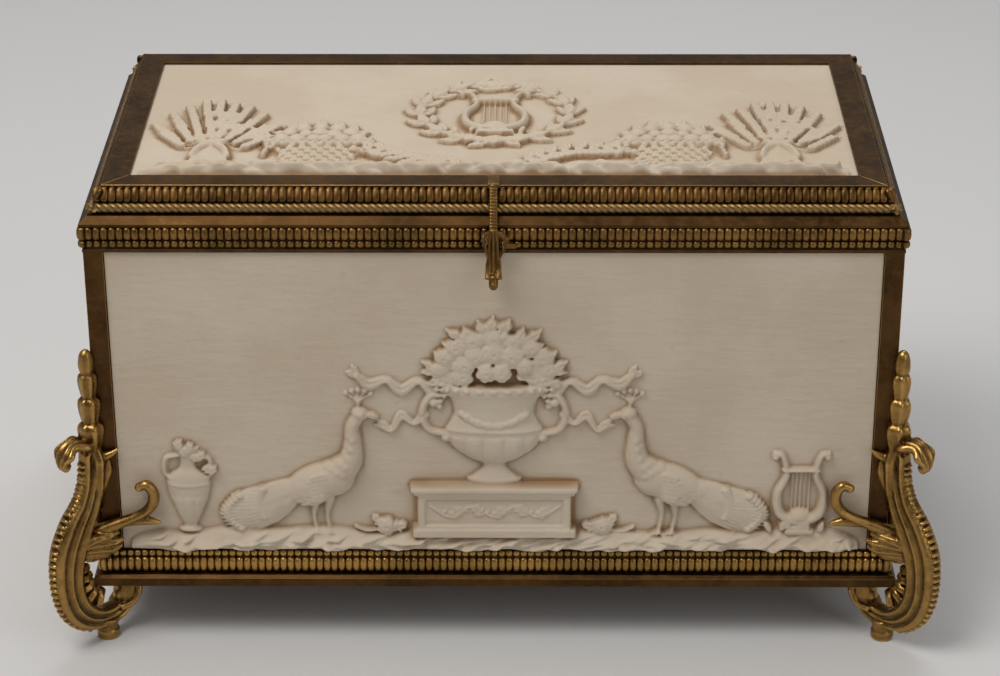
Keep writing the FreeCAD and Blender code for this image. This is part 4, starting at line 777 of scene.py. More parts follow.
def dress_rope():
    weave = rope_weave()
    gilt = finish_of(rope_gilt)
    low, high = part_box("lid_rope")
    radius = (high.z - low.z) / 2
    level = (low.z + high.z) / 2
    lead = sizes().strand_pitch * ROPE_STRANDS
    leaves = [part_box(f"{name}_hinge_lid_leaf") for name in ("left", "right")]
    cuts = sorted(corner.x for leaf in leaves for corner in leaf)
    gaps = [cut + HINGE_PLAY * (-1, 1)[number % 2] for number, cut in enumerate(cuts)]
    stops = [low.x, *gaps, high.x]
    runs = [
        ("front", low.x, high.x, low.y + radius),
        ("right", low.y, high.y, -high.x + radius),
        ("left", -high.y, -low.y, low.x + radius),
        *(("back", -stops[stop + 1], -stops[stop], -high.y + radius) for stop in (0, 2, 4)),
    ]
    joined = bmesh.new()
    for number, (side, start, end, inset) in enumerate(runs):
        length = end - start
        mesh = weave.run(f"rope_run_{number}", {
            "Length": length,
            "Lead": lead,
            "Rope radius": radius * ROPE_FULLNESS,
            "Strand radius": radius * STRAND_SHARE,
            "Steps": int(length / lead * STEPS_IN_LEAD),
            "Material": gilt,
        })
        place = Matrix.Translation(((start + end) / 2, inset, level))
        mesh.transform(about_z(SIDE_TURN[side]) @ place)
        joined.from_mesh(mesh)
        bpy.data.meshes.remove(mesh)
    mesh = bpy.data.meshes.new("lid_rope_strands")
    joined.to_mesh(mesh)
    joined.free()
    mesh.shade_smooth()
    mark_hollows(mesh, *ROPE_HOLLOWS)
    new_piece("lid_rope_strands", mesh, gilt, "lid", ["lid_rope"])


# Bisque reliefs: height fields in millimetres, u across a panel, v up it, raised towards the viewer

BURIED = -0.6
NOTHING = -2.0
RELIEF_CELL = 0.42
PLAIN_CELL = 0.7
SLAB_SHARE = 2.1
GROUND_INSET = 3
LID_INSET = 2.0
LID_BROAD = 3.0
LID_BROAD_SHARE = 0.82
LID_FINE_SHARE = 1.15
LID_KNEE = 0.7
# How much stronger the lid's tan darkening is, part real staining and part painted shade, so that its low
# relief reads.
LID_GRIME_AND_SHADE = 1.8


def curve_through(points, steps=6):
    """A smooth run of points through the given ones."""
    given = np.asarray(points, float)
    if len(given) < 3:
        return given
    before = np.vstack([2 * given[0] - given[1], given[:-1]])
    after = np.vstack([given[1:], 2 * given[-1] - given[-2]])
    tangents = (after - before) / 2
    share = np.linspace(0.0, 1.0, steps, endpoint=False)[:, None]
    runs = []
    for start, end, leave, arrive in zip(given[:-1], given[1:], tangents[:-1], tangents[1:]):
        runs.append((2 * share ** 3 - 3 * share ** 2 + 1) * start
                    + (share ** 3 - 2 * share ** 2 + share) * leave
                    + (3 * share ** 2 - 2 * share ** 3) * end + (share ** 3 - share ** 2) * arrive)
    return np.vstack([*runs, given[-1:]])


def placed(spot, wide, tall, shares):
    """Points given as shares of a width and a height from a spot."""
    return [(spot[0] + wide * across, spot[1] + tall * up) for across, up in shares]


def spread(values, count):
    """Values spread evenly over that many points."""
    values = np.atleast_1d(np.asarray(values, float))
    return np.interp(np.linspace(0, 1, count), np.linspace(0, 1, len(values)), values)


def swelling(distance, height, radius, power=0.5, base=0.0):
    """A rounded form: full in the middle, at its base at distance 1, buried outside."""
    inside = base + height * np.clip(1 - distance ** 2, 0.0, None) ** power
    return np.where(distance < 1, inside, (1 - distance) * radius * 2)


class Relief:
    """A height field that motifs are laid on."""

    def __init__(self, low, high, cell):
        self.cell = cell
        self.u = np.linspace(low[0], high[0], round((high[0] - low[0]) / cell) + 1)
        self.v = np.linspace(low[1], high[1], round((high[1] - low[1]) / cell) + 1)
        self.height = np.full((len(self.v), len(self.u)), NOTHING)

    def window(self, u_low, u_high, v_low, v_high):
        left, right = np.searchsorted(self.u, (u_low, u_high))
        low, high = np.searchsorted(self.v, (v_low, v_high))
        return (slice(low, high), slice(left, right)), self.u[None, left:right], self.v[low:high, None]

    def around(self, spot, reach):
        return self.window(spot[0] - reach, spot[0] + reach, spot[1] - reach, spot[1] + reach)

    def lay(self, window, heights):
        self.height[window] = np.maximum(self.height[window], heights)

    def press(self, window, change):
        """Raise or sink what is already there."""
        self.height[window] += np.where(self.height[window] > -0.2, change, 0.0)

    def dome(self, spot, radii, height, turn=0.0, base=0.0):
        window, u, v = self.around(spot, max(radii) + 1)
        cosine, sine = math.cos(turn), math.sin(turn)
        along = ((u - spot[0]) * cosine + (v - spot[1]) * sine) / radii[0]
        across = ((v - spot[1]) * cosine - (u - spot[0]) * sine) / radii[1]
        self.lay(window, swelling(np.hypot(along, across), height, min(radii), base=base))

    def slab(self, low, high, height):
        """A flat block with crisp edges."""
        window, u, v = self.window(low[0], high[0], low[1], high[1])
        self.lay(window, np.broadcast_to(height, (v.size, u.size)))

    def stroke(self, path, radii, heights, power=0.5, base=0.0, pressed=False):
        """A rounded band along a smooth path, its radii and heights running from start to end."""
        points = curve_through(path)
        wide = spread(radii, len(points))
        tall = spread(heights, len(points))
        for index in range(len(points) - 1):
            start, step = points[index], points[index + 1] - points[index]
            length = max(step @ step, 1e-9)
            middle = start + step / 2
            reach = math.sqrt(length) / 2 + max(wide[index], wide[index + 1]) + 1
            window, u, v = self.around(middle, reach)
            share = np.clip(((u - start[0]) * step[0] + (v - start[1]) * step[1]) / length, 0, 1)
            away = np.hypot(u - start[0] - share * step[0], v - start[1] - share * step[1])
            radius = wide[index] + share * (wide[index + 1] - wide[index])
            top = tall[index] + share * (tall[index + 1] - tall[index])
            if pressed:
                self.press(window, top * np.exp(-(away / radius) ** 2) / 3)
            else:
                self.lay(window, swelling(away / radius, top, radius, power, base))

    def leaf(self, base, tip, width, height, lobes=0, bend=0.0, lift=0.0):
        """A pointed leaf with a midrib; lobes scallop its edge and bend sets it to its left."""
        base, tip = np.asarray(base, float), np.asarray(tip, float)
        run = tip - base
        length = np.hypot(*run)
        run /= length
        window, u, v = self.around((base + tip) / 2, length / 2 + width + abs(bend) * length)
        along = ((u - base[0]) * run[0] + (v - base[1]) * run[1]) / length
        across = (v - base[1]) * run[0] - (u - base[0]) * run[1]
        held = np.clip(along, 0.0, 1.0)
        across = across - bend * length * 4 * held * (1 - held)
        half = width / 2 * np.sin(math.pi * held ** 0.8) ** 0.75 + 0.15
        if lobes:
            half = half * (1 + 0.24 * np.cos(2 * math.pi * (lobes * held - 0.3)))
        distance = np.abs(across) / half
        form = height * (0.45 + 0.55 * np.sqrt(np.clip(1 - distance ** 2, 0, None)))
        form = form * (1 + 0.13 * np.cos(2 * math.pi * (max(lobes, 4) * held - 0.9 * distance)))
        form = form - 0.3 * height * np.exp(-(across / (0.07 * width + 0.2)) ** 2)
        inside = (distance < 1) & (along > 0) & (along < 1)
        self.lay(window, np.where(inside, lift + form, NOTHING))

    def rose(self, spot, radius, height, petals=5, turn=0.0, base=0.0):
        """A full-blown flower in three rings of petals."""
        window, u, v = self.around(spot, radius + 1)
        away = np.hypot(u - spot[0], v - spot[1]) / radius
        angle = np.arctan2(v - spot[1], u - spot[0])
        for ring, (share, level) in enumerate(((1.0, 0.62), (0.68, 0.85), (0.38, 1.0))):
            edge = share * (0.86 + 0.14 * np.abs(np.cos(petals / 2 * (angle + turn + ring * 0.7))))
            inner = np.clip(away / edge, 0, 1)
            cup = base + height * level * (0.62 + 0.38 * inner ** 1.6) - 0.25 * height * inner ** 8
            self.lay(window, np.where(away < edge, cup, NOTHING))

    def press_scale(self, spot, radius, height):
        """A small overlapping scale on what is already there."""
        window, u, v = self.around(spot, radius)
        away = np.hypot(u - spot[0], v - spot[1]) / radius
        self.press(window, np.where(away < 1, height * (1 - away ** 2), 0.0))

    def grapes(self, spot, length, width, turn, berry, height):
        """A hanging bunch that narrows along its turn."""
        rows = max(3, int(length / (berry * 1.5)))
        for row in range(rows):
            share = row / (rows - 1)
            count = max(1, round((1 - share) * width / (berry * 1.7)))
            for number in range(count):
                across = (number - (count - 1) / 2) * berry * 1.7
                along = share * length
                u = spot[0] + math.cos(turn) * along - math.sin(turn) * across
                v = spot[1] + math.sin(turn) * along + math.cos(turn) * across
                self.dome((u, v), (berry, berry), berry * 0.9, base=height * (1 - 0.5 * share))

    def turned(self, middle, profile, depth):
        """A vase in half relief from (height, half width) points."""
        outline = curve_through(profile, 5)
        levels = np.maximum.accumulate(outline[:, 0]) + np.arange(len(outline)) * 1e-6
        halves = np.maximum(outline[:, 1], 0.3)
        widest = halves.max()
        window, u, v = self.window(middle - widest - 1, middle + widest + 1, levels[0], levels[-1])
        half = np.interp(v, levels, halves)
        distance = np.abs(u - middle) / half
        body = depth * (half / widest) ** 0.6 * np.sqrt(np.clip(1 - distance ** 2, 0, None))
        self.lay(window, np.where(distance < 1, body, (1 - distance) * half * 2))

    def gadroons(self, middle, half, low, high, count, height):
        """Upright lobes pressed up on a vase between two levels."""
        window, u, v = self.window(middle - half, middle + half, low, high)
        angle = np.arcsin(np.clip((u - middle) / half, -1, 1))
        share = (v - low) / (high - low)
        lobe = np.abs(np.cos(angle * count)) ** 0.6 * np.sin(math.pi * np.clip(share, 0, 1)) ** 0.4
        self.press(window, height * lobe)

    def finished(self):
        """Soften the edges by part of a cell."""
        self.height = soften(np.maximum(self.height, BURIED * 2), 0.65)


def soften(field, sigma):
    """Blur a field by a Gaussian of sigma cells."""
    reach = max(1, int(sigma * 3))
    kernel = np.exp(-0.5 * (np.arange(-reach, reach + 1) / sigma) ** 2)
    kernel /= kernel.sum()
    padded = np.pad(field, reach, mode="edge")
    rows = sum(weight * padded[:, shift:shift + field.shape[1]] for shift, weight in enumerate(kernel))
    return sum(weight * rows[shift:shift + field.shape[0]] for shift, weight in enumerate(kernel))


# Motifs

def ground_strip(relief, half, low, top, height, seed):
    """A bank of earth along a panel's foot, with brushed tufts."""
    draw = np.random.default_rng(seed)
    left, right = GROUND_INSET - half, half - GROUND_INSET
    window, u, v = relief.window(left, right, low - 1, low + top * 1.4)
    crest = top + 0.11 * top * np.sin(u / 17 + 0.5) + 0.08 * top * np.sin(u / 6.3)
    ends = np.clip((u - left) / 12, 0, 1) ** 0.5 * np.clip((right - u) / 12, 0, 1) ** 0.5
    share = np.clip((v - low) / (crest * (0.35 + 0.65 * ends)), 0, None)
    top_round = np.clip(1 - share ** 2.5, 0, 1) ** 0.6
    under = 0.08 + 0.92 * np.sin(math.pi / 2 * np.clip(share / 0.42, 0, 1)) ** 0.7
    bank = height * (0.4 + 0.6 * ends) * top_round * under
    relief.lay(window, np.where(share < 1, bank, (1 - share) * 4))
    count = int((right - left) / 2.2)
    for number in range(count):
        start = left + 4 + (right - left - 8) * (number + draw.uniform(0, 0.8)) / count
        floor = low + top * draw.uniform(0.1, 0.62)
        length = top * draw.uniform(0.9, 1.7)
        lean = draw.uniform(0.12, 0.42) * draw.choice((-1, 1), p=(0.35, 0.65))
        end = min(max(start + length, left + 3), right - 3)
        middle = ((start + end) / 2, floor + lean * length * 0.35)
        widths = [0.4, draw.uniform(0.7, 1.4), 0.3]
        heights = [0.4, draw.uniform(1.5, 3.0), 0.3]
        relief.stroke([(start, floor), middle, (end, floor + lean * length)], widths, heights, pressed=True)


def vine(relief, left, right, level, swing, height):
    """A wavy stem with leaves and berries."""
    count = max(2, round((right - left) / (swing * 3)))
    path = []
    for number in range(count * 2 + 1):
        path.append((left + (right - left) * number / (count * 2), level + swing * (-1) ** number * 0.5))
    relief.stroke(path, 0.55, 0.8, base=height)
    for number, (u, v) in enumerate(path[1:-1]):
        side = -1 if number % 2 == 0 else 1
        relief.leaf((u, v), (u + swing * 0.9, v - side * swing * 0.9), swing * 0.9, 0.9, lobes=2, lift=height)
        relief.dome((u - swing * 0.5, v - side * swing * 0.5), (0.8, 0.8), 0.8, base=height)


def plinth(relief, middle, low, width, height, cap, overhang, reach):
    """A capped block with a vine in a sunk field."""
    half = width / 2
    top = low + height
    relief.slab((middle - half - 2, low - 2), (middle + half + 2, low + 2.6), reach + 0.8)
    relief.slab((middle - half, low), (middle + half, top - cap), reach)
    relief.slab((middle - half - overhang, top - cap * 0.55), (middle + half + overhang, top), reach + 1.2)
    lip = overhang * 0.5
    relief.slab((middle - half - lip, top - cap), (middle + half + lip, top - cap * 0.55), reach + 0.5)
    window, _, _ = relief.window(middle - half + 3.5, middle + half - 3.5, low + 4.2, top - cap - 1.6)
    relief.press(window, -1.1)
    vine(relief, middle - half + 5, middle + half - 5, (low + 4.2 + top - cap - 1.6) / 2, 5.2, reach - 1.1)


def krater(relief, middle, low, tall, half, depth):
    """A footed vase with gadroons, a garland and two scrolled handles."""
    shares = [(0.0, 0.52), (0.06, 0.52), (0.075, 0.44), (0.16, 0.25), (0.21, 0.24), (0.25, 0.42),
              (0.34, 0.70), (0.46, 0.89), (0.55, 0.92), (0.64, 0.82), (0.74, 0.75), (0.86, 0.83),
              (0.93, 0.98), (1.0, 1.0)]
    foot = (middle, low)
    for side in (-1, 1):
        handle = [(0.86, 0.5), (1.22, 0.55), (1.34, 0.72), (1.2, 0.88), (1.02, 0.9)]
        path = placed(foot, side * half, tall, handle)
        relief.stroke(path, [1.5, 1.7, 1.6, 1.5, 1.3], [2.2, 2.6, 2.6, 2.6, 2.4])
        relief.dome((middle + side * half * 1.12, low + tall * 0.82), (2.3, 2.3), 3.0)
        relief.dome((path[0][0] + side * 1.2, low + tall * 0.47), (2.1, 2.1), 3.0)
    relief.turned(middle, [(low + tall * share, half * wide) for share, wide in shares], depth)
    relief.gadroons(middle, half * 0.9, low + tall * 0.24, low + tall * 0.5, 7, 0.9)
    relief.stroke(placed(foot, half, tall, [(-0.92, 0.56), (0.92, 0.56)]), 0.9, 1.6, pressed=True)
    for number in range(11):
        angle = math.radians(-75 + 15 * number)
        bead = (middle + half * 0.99 * math.sin(angle), low + tall * 0.965)
        level = depth * math.cos(angle) ** 0.6 * 0.97
        relief.dome(bead, (1.3 * math.cos(angle) + 0.3, 1.2), 0.9, base=level)
    hang = [(share, 0.72 - 0.1 * (1 - (share / 0.6) ** 2)) for share in (-0.6, -0.3, 0.0, 0.3, 0.6)]
    for number, (u, v) in enumerate(curve_through(placed(foot, half, tall, hang), 3)):
        inset = depth * math.sqrt(max(0.0, 1 - ((u - middle) / (half * 0.8)) ** 2)) * 0.86
        relief.rose((u, v), 1.9 if number % 2 else 1.5, 1.3, turn=number, base=inset)


def bouquet(relief, middle, low, half, tall, base, seed):
    """A dome of roses with leaves spilling from a vase."""
    draw = np.random.default_rng(seed)
    for number in range(17):
        angle = math.radians(-18 + 216 * number / 16)
        reach = draw.uniform(0.98, 1.22)
        rise = tall * 0.74 * reach * math.sin(angle)
        tip = (middle + half * reach * math.cos(angle), low + tall * 0.34 + rise)
        root = (middle + half * 0.35 * math.cos(angle), low + tall * 0.3 + tall * 0.2 * math.sin(angle))
        wide, bend = draw.uniform(5.5, 7.5), draw.uniform(-0.12, 0.12)
        relief.leaf(root, tip, wide, 1.5, lobes=4, bend=bend, lift=base * 0.4)
    for ring, (share, count) in enumerate(((0.86, 9), (0.5, 6), (0.12, 2))):
        for number in range(count):
            angle = math.radians(4 + 172 * (number + 0.5 * (ring % 2)) / max(count - 1, 1))
            rise = tall * 0.62 * share * math.sin(angle)
            spot = (middle + half * share * math.cos(angle), low + tall * 0.3 + rise)
            relief.rose(spot, draw.uniform(3.9, 5.4), 2.2, petals=5 + number % 2, turn=draw.uniform(0, 6),
                        base=base * (1.0 - 0.55 * share))
    for side in (-1, 1):
        drop = (middle + side * half * 0.8, low + tall * 0.1)
        relief.grapes(drop, 11, 8, math.radians(-90 + side * 8), 1.35, base * 0.55)
        root = (middle + side * half * 0.55, low + 2)
        tip = (middle + side * half * 0.95, low + 5)
        relief.leaf(root, tip, 6.5, 1.4, lobes=3, lift=base * 0.5)


def ribbon(relief, path, width, height):
    """A fluttering band that narrows and widens as it turns."""
    count = len(path)
    widths = [width * (1.0 if number % 2 == 0 else 0.55) for number in range(count)]
    heights = [height * (0.8 if number % 2 == 0 else 1.15) for number in range(count)]
    relief.stroke(path, widths, heights, power=0.28)
    points = np.asarray(path, float)
    relief.stroke(points + (0.0, width * 0.25), width * 0.22, -0.9, pressed=True)
    end, way = points[-1], points[-1] - points[-2]
    way /= np.hypot(*way)
    for side in (-1, 1):
        tip = end + way * width * 1.8 + np.array((-way[1], way[0])) * side * width * 0.8
        relief.leaf(end - way * width * 0.4, tip, width * 1.1, height * 0.7)


def peacock(relief, spot, facing):
    """A standing peacock with a folded train, facing 1 for right or -1 for left."""

    def at(u, v):
        return (spot[0] + facing * u, spot[1] + v)

    for number in range(11):
        share = number / 10
        tip = at(-37 - 5 * math.sin(math.pi * share), -1 + 17 * share)
        root = at(-7, 17 + 7 * share)
        lift = 0.4 + 1.5 * math.sin(math.pi * share)
        relief.leaf(root, tip, 5.6, 1.6, bend=facing * (0.1 - 0.05 * share), lift=lift)
        eye = at(-33 - 5 * math.sin(math.pi * share), 0.9 + 15.2 * share)
        relief.dome(eye, (2.2, 1.7), 1.2, base=2.1, turn=-0.3 * facing)
        relief.dome(eye, (1.0, 0.8), 1.0, base=2.9, turn=-0.3 * facing)
    for number in range(10):
        share = number / 9
        eye = at(-23 - 2 * math.sin(math.pi * share), 6.5 + 13 * share)
        relief.dome(eye, (1.9, 1.4), 1.1, base=2.6, turn=-0.3 * facing)
    for side in (0, 5.5):
        leg = [at(side - 1, 15), at(side - 2.2, 7), at(side - 1, -1)]
        relief.stroke(leg, [2.4, 1.0, 0.9], [3.2, 2.0, 1.8])
        for toe in (-1.5, 1.0, 3.6):
            relief.stroke([at(side - 1, -0.5), at(side - 1 + toe, -2.2)], [0.8, 0.5], [1.8, 1.2], base=1.8)
    relief.dome(at(0, 22), (15.5, 8.8), 5.2, turn=facing * 0.42)
    relief.dome(at(6.5, 24.5), (9.0, 8.6), 5.4, turn=facing * 0.7)
    relief.stroke([at(7.5, 26), at(13.5, 32.5), at(14.8, 41), at(14.6, 48), at(17.2, 53.2)],
                  [7.2, 5.2, 3.7, 2.9, 2.7], [5.4, 5.0, 4.4, 3.9, 3.7])
    relief.dome(at(18.0, 54.4), (3.7, 3.1), 4.2, turn=-0.2 * facing)
    relief.leaf(at(20.4, 54.6), at(26.0, 52.6), 2.6, 2.2, lift=0.8)
    relief.dome(at(18.9, 55.2), (0.65, 0.65), 0.6, base=4.0)
    for number in range(5):
        tip = at(12.2 + 2.6 * number, 63.5 + 1.6 * math.sin(math.pi * number / 4))
        relief.stroke([at(17.2, 57), at(16.2 + 0.5 * number, 60.2), tip], [0.5, 0.4, 0.4], [1.7, 1.5, 1.4])
        relief.dome(tip, (1.15, 1.3), 1.7)
    for row, (count, length, level) in enumerate(((7, 15.0, 4.3), (7, 11.0, 5.0), (6, 7.5, 5.6))):
        for number in range(count):
            share = number / (count - 1)
            root = at(5.2 - 1.2 * row + 1.5 * share, 18.0 + 9.5 * share)
            tip = at(root_along(5.2 - 1.2 * row, length, share), 12.5 + 10.5 * share + row * 1.4)
            relief.leaf(root, tip, 3.6, 0.9, bend=facing * 0.06, lift=level - 1.2)
    for row in range(5):
        for number in range(4 - row // 3):
            scale_spot = at(10.5 + row * 1.05 - number * 2.4, 27 + row * 4.0 + number * 1.5)
            relief.press_scale(scale_spot, 1.6, 0.45)


def root_along(start, length, share):
    return start - length * (0.85 + 0.25 * math.sin(math.pi * share))


def fruit_basket(relief, spot, half, tall, seed):
    """A wicker basket heaped with round fruit, with leaves over its rim."""
    draw = np.random.default_rng(seed)
    u, low = spot
    top = low + tall
    for number in range(9):
        angle = math.pi * (number + 0.5) / 9
        tip = (u + half * 1.2 * math.cos(angle), top + tall * 1.2 * math.sin(angle))
        relief.leaf((u, top), tip, 8.5, 1.7, lobes=4, bend=draw.uniform(-0.1, 0.1), lift=0.5)
    for share, count in ((0.8, 7), (0.48, 5), (0.16, 2)):
        for number in range(count):
            angle = math.pi * (number + 0.5) / count
            place = (u + half * share * math.cos(angle), top + 2 + tall * 0.8 * share * math.sin(angle))
            fruit = draw.uniform(3.7, 4.7)
            relief.dome(place, (fruit, fruit), 3.4, base=1.2 - share * 0.8)
    for side in (-1, 1):
        relief.grapes((u + side * half * 0.95, top + 2), 13, 8, math.radians(-90 + side * 14), 1.4, 2.6)
    relief.turned(u, [(low, half * 0.7), (low + tall * 0.5, half * 0.8), (top, half * 0.98)], 3.6)
    window, across, up = relief.window(u - half, u + half, low + 2, top - 2)
    relief.press(window, 0.9 * np.sin(math.pi * (across - u) / 2.6) * np.sin(math.pi * (up - low) / 3.6))
    for level, reach in ((low + 1, 0.74), (top - 1, 1.02)):
        relief.stroke([(u - half * reach, level), (u + half * reach, level)], 2.0, 4.4)
        for number in range(11):
            place = u + half * reach * (number - 5) / 5.5
            relief.stroke([(place - 1.2, level - 1.6), (place + 1.2, level + 1.6)], 0.6, -2.4, pressed=True)


def wheat_sheaf(relief, spot, half, tall, seed):
    """A bound sheaf: stalks in three ranks fan out from its tie, each with a bearded ear."""
    draw = np.random.default_rng(seed)
    u, low = spot
    stalks = 25
    tie = low + tall * 0.33
    for number in sorted(range(stalks), key=lambda number: -abs(number - stalks // 2)):
        share = 2 * number / (stalks - 1) - 1
        behind = number % 3
        top = low + tall * (0.94 - 0.34 * share ** 2) * (1 - 0.16 * behind) * draw.uniform(0.93, 1.0)
        bend = np.array((u + half * 0.58 * share, low + (top - low) * 0.66))
        tip = np.array((u + half * share, top))
        level = (2.2 - 1.1 * abs(share)) * (1 - 0.12 * behind)
        stalk = [(u + half * 0.42 * share, low), (u + half * 0.14 * share, tie), bend, tip]
        relief.stroke(stalk, [0.9, 0.8, 0.8, 0.5], [2.0, level + 1.2, level, 1.4])
        way = unit(tip - bend)
        across = np.array((-way[1], way[0]))
        for row in range(6):
            grain = tip - way * tall * 0.2 * (1 - row / 5)
            for side in (-1, 1):
                point = grain + way * 4.0 + across * side * 2.0
                relief.leaf(grain, point, 1.9, 1.7, lift=level * 0.7 + 0.2)
        for lean in (-0.16, 0.0, 0.16):
            relief.stroke([tip, tip + (way + across * lean) * 7.5], [0.55, 0.3], [1.8, 0.8])
    relief.stroke([(u - half * 0.2, tie), (u, tie - 1.5), (u + half * 0.2, tie)], 2.4, 4.6)
    for side in (-1, 1):
        tail = [(u, tie), (u + side * half * 0.22, tie - 5), (u + side * half * 0.3, tie - 12)]
        relief.stroke(tail, [2.0, 1.6, 1.8], [4.4, 3.6, 3.0], power=0.3)


def amphora(relief, spot, tall):
    """A slender two-handled jar with a trailing ivy sprig."""
    u, low = spot
    for side in (-1, 1):
        handle = [(0.09, 0.9), (0.22, 0.86), (0.24, 0.7), (0.18, 0.62)]
        relief.stroke(placed(spot, side * tall, tall, handle), 1.1, 2.2)
    profile = [(0.0, 0.12), (0.04, 0.12), (0.07, 0.07), (0.2, 0.12), (0.4, 0.2), (0.58, 0.23), (0.68, 0.19),
               (0.76, 0.09), (0.9, 0.085), (0.95, 0.13), (1.0, 0.13)]
    relief.turned(u, [(low + tall * share, tall * wide) for share, wide in profile], tall * 0.105)
    relief.gadroons(u, tall * 0.23, low + tall * 0.1, low + tall * 0.42, 6, 0.7)
    relief.stroke(placed(spot, tall, tall, [(-0.2, 0.57), (0.2, 0.57)]), 0.7, 1.4, pressed=True)
    for number in range(7):
        share = number / 6
        place = (u - tall * 0.12 + tall * 0.34 * share, low + tall * (0.99 - 0.3 * share ** 2))
        relief.leaf(place, (place[0] + 3.2, place[1] + 3.4 * (-1) ** number), 3.8, 1.1, lobes=2, lift=2.0)


def lyre(relief, spot, tall):
    """A lyre with scrolled arms on a stepped foot, with a laurel sprig."""
    u, low = spot
    for side in (-1, 1):
        arm = [(0.0, 0.12), (0.2, 0.22), (0.24, 0.45), (0.15, 0.68), (0.2, 0.9), (0.28, 0.93)]
        path = placed(spot, side * tall, tall, arm)
        relief.stroke(path, [2.4, 2.3, 1.9, 1.5, 1.3, 1.0], [3.8, 3.8, 3.4, 3.0, 2.8, 2.4])
        relief.dome((u + side * tall * 0.27, low + tall * 0.89), (1.7, 1.7), 3.0)
    relief.stroke(placed(spot, tall, tall, [(-0.18, 0.74), (0.18, 0.74)]), 1.1, 3.2)
    for number in range(5):
        string = u + (number - 2) * tall * 0.045
        relief.stroke([(string, low + tall * 0.2), (string, low + tall * 0.74)], 0.42, 1.5)
    relief.dome((u, low + tall * 0.19), (tall * 0.13, tall * 0.1), 4.2)
    relief.slab((u - tall * 0.15, low), (u + tall * 0.15, low + tall * 0.05), 4.4)
    relief.slab((u - tall * 0.1, low + tall * 0.05), (u + tall * 0.1, low + tall * 0.1), 3.8)
    for number in range(6):
        share = number / 5
        place = (u - tall * 0.3 + tall * 0.5 * share, low + tall * (0.02 + 0.1 * share * (1 - share)))
        relief.leaf(place, (place[0] - 2.2 + 4.4 * (number % 2), place[1] + 5.2), 2.6, 1.2, lift=3.0)


def fallen_rose(relief, spot, facing):
    """A rose and two leaves lying on the bank."""
    u, v = spot
    relief.leaf((u - facing * 2, v), (u - facing * 9, v + 2.5), 4.6, 1.5, lobes=3, lift=1.2)
    relief.leaf((u + facing * 1, v + 1), (u + facing * 6, v + 6.5), 4.4, 1.5, lobes=3, lift=1.0)
    relief.stroke([(u + facing * 2, v), (u + facing * 8, v - 1), (u + facing * 13, v + 0.8)], 0.7, 2.6)
    relief.rose((u, v + 1.5), 4.3, 3.2, base=1.6)


def wreath(relief, spot, radius, thickness, seed):
    """A ring of laurel leaves that meet at a rose, tied with three roses below."""
    draw = np.random.default_rng(seed)

    def on_ring(angle):
        return np.array((spot[0] + radius * math.cos(angle), spot[1] + radius * math.sin(angle)))

    ring = [on_ring(angle) for angle in np.linspace(0, 2 * math.pi, 25)]
    relief.stroke(ring, thickness * 0.5, thickness * 0.6)
    count = int(radius * 0.3)
    for half in (-1, 1):
        for number in range(count):
            angle = -math.pi / 2 + half * math.pi * (number + 0.2) / count
            for side in (-1, 1, 0):
                lean = angle + half * (math.pi / 2 - side * 0.62)
                long = thickness * draw.uniform(3.0, 3.5)
                tip = on_ring(angle) + long * np.array((math.cos(lean), math.sin(lean)))
                lift = thickness * (0.5 if side == 0 else 0.2)
                relief.leaf(on_ring(angle), tip, thickness * 1.35, 1.4, bend=0.08 * side, lift=lift)
    for degrees, size in ((90, 1.2), (-70, 1.2), (-110, 1.2), (-90, 1.5)):
        place = on_ring(math.radians(degrees))
        relief.rose(place, thickness * size, 2.0, turn=degrees, base=thickness * 0.5)


def bow(relief, spot, wide, height):
    """A tied ribbon bow with two fluttering tails."""
    for side in (-1, 1):
        loop = [(0.0, 0.0), (0.45, 0.32), (0.8, 0.12), (0.5, -0.08), (0.0, 0.0)]
        widths = [wide * share for share in (0.06, 0.1, 0.12, 0.1, 0.06)]
        relief.stroke(placed(spot, side * wide, wide, loop), widths, height, power=0.3)
        fall = [(0.0, 0.0), (0.35, -0.3), (0.5, -0.62), (0.85, -0.75), (1.05, -1.05)]
        tail = placed(spot, side * wide, wide, fall)
        ribbon(relief, tail, wide * 0.1, height * 0.85)
    relief.dome(spot, (wide * 0.13, wide * 0.11), height * 1.4)


def laurel_branch(relief, start, end, leaf, height):
    """A stem with pairs of pointed leaves."""
    start, end = np.asarray(start, float), np.asarray(end, float)
    run = end - start
    normal = np.array((-run[1], run[0]))
    path = [start, start + run * 0.5 + normal * 0.1, end]
    stem = curve_through(path, 4)
    relief.stroke(path, [0.9, 0.7, 0.4], height)
    for number in range(1, len(stem)):
        way = stem[number] - stem[number - 1]
        way /= np.hypot(*way)
        for side in (-1, 1):
            out = np.array((-way[1], way[0])) * side
            tip = stem[number] + way * leaf * 0.78 + out * leaf * 0.64
            relief.leaf(stem[number], tip, leaf * 0.46, 1.7, lift=height * 0.5)


def festoon(relief, left, right, sag, thick, seed):
    """A hanging garland of roses, fruit and leaves between two points."""
    draw = np.random.default_rng(seed)
    left, right = np.asarray(left, float), np.asarray(right, float)
    count = int(np.hypot(*(right - left)) / (thick * 0.62))
    for number in range(count + 1):
        share = number / count
        spot = left + (right - left) * share - (0, sag * 4 * share * (1 - share))
        fullness = thick * (0.5 + 0.5 * math.sin(math.pi * share))
        for side in (-1, 1):
            lean = math.radians(draw.uniform(40, 80)) * side - math.atan2(1, 2) * (0.5 - share)
            tip = spot + fullness * np.array((math.cos(lean) * (1 if share < 0.5 else -1), math.sin(lean)))
            relief.leaf(spot, tip, fullness * 0.7, 1.2, lobes=3, lift=0.7)
        relief.rose(spot + (0, draw.uniform(-0.2, 0.2) * fullness), fullness * draw.uniform(0.42, 0.6), 2.2,
                    turn=draw.uniform(0, 6), base=1.3)


# Panels

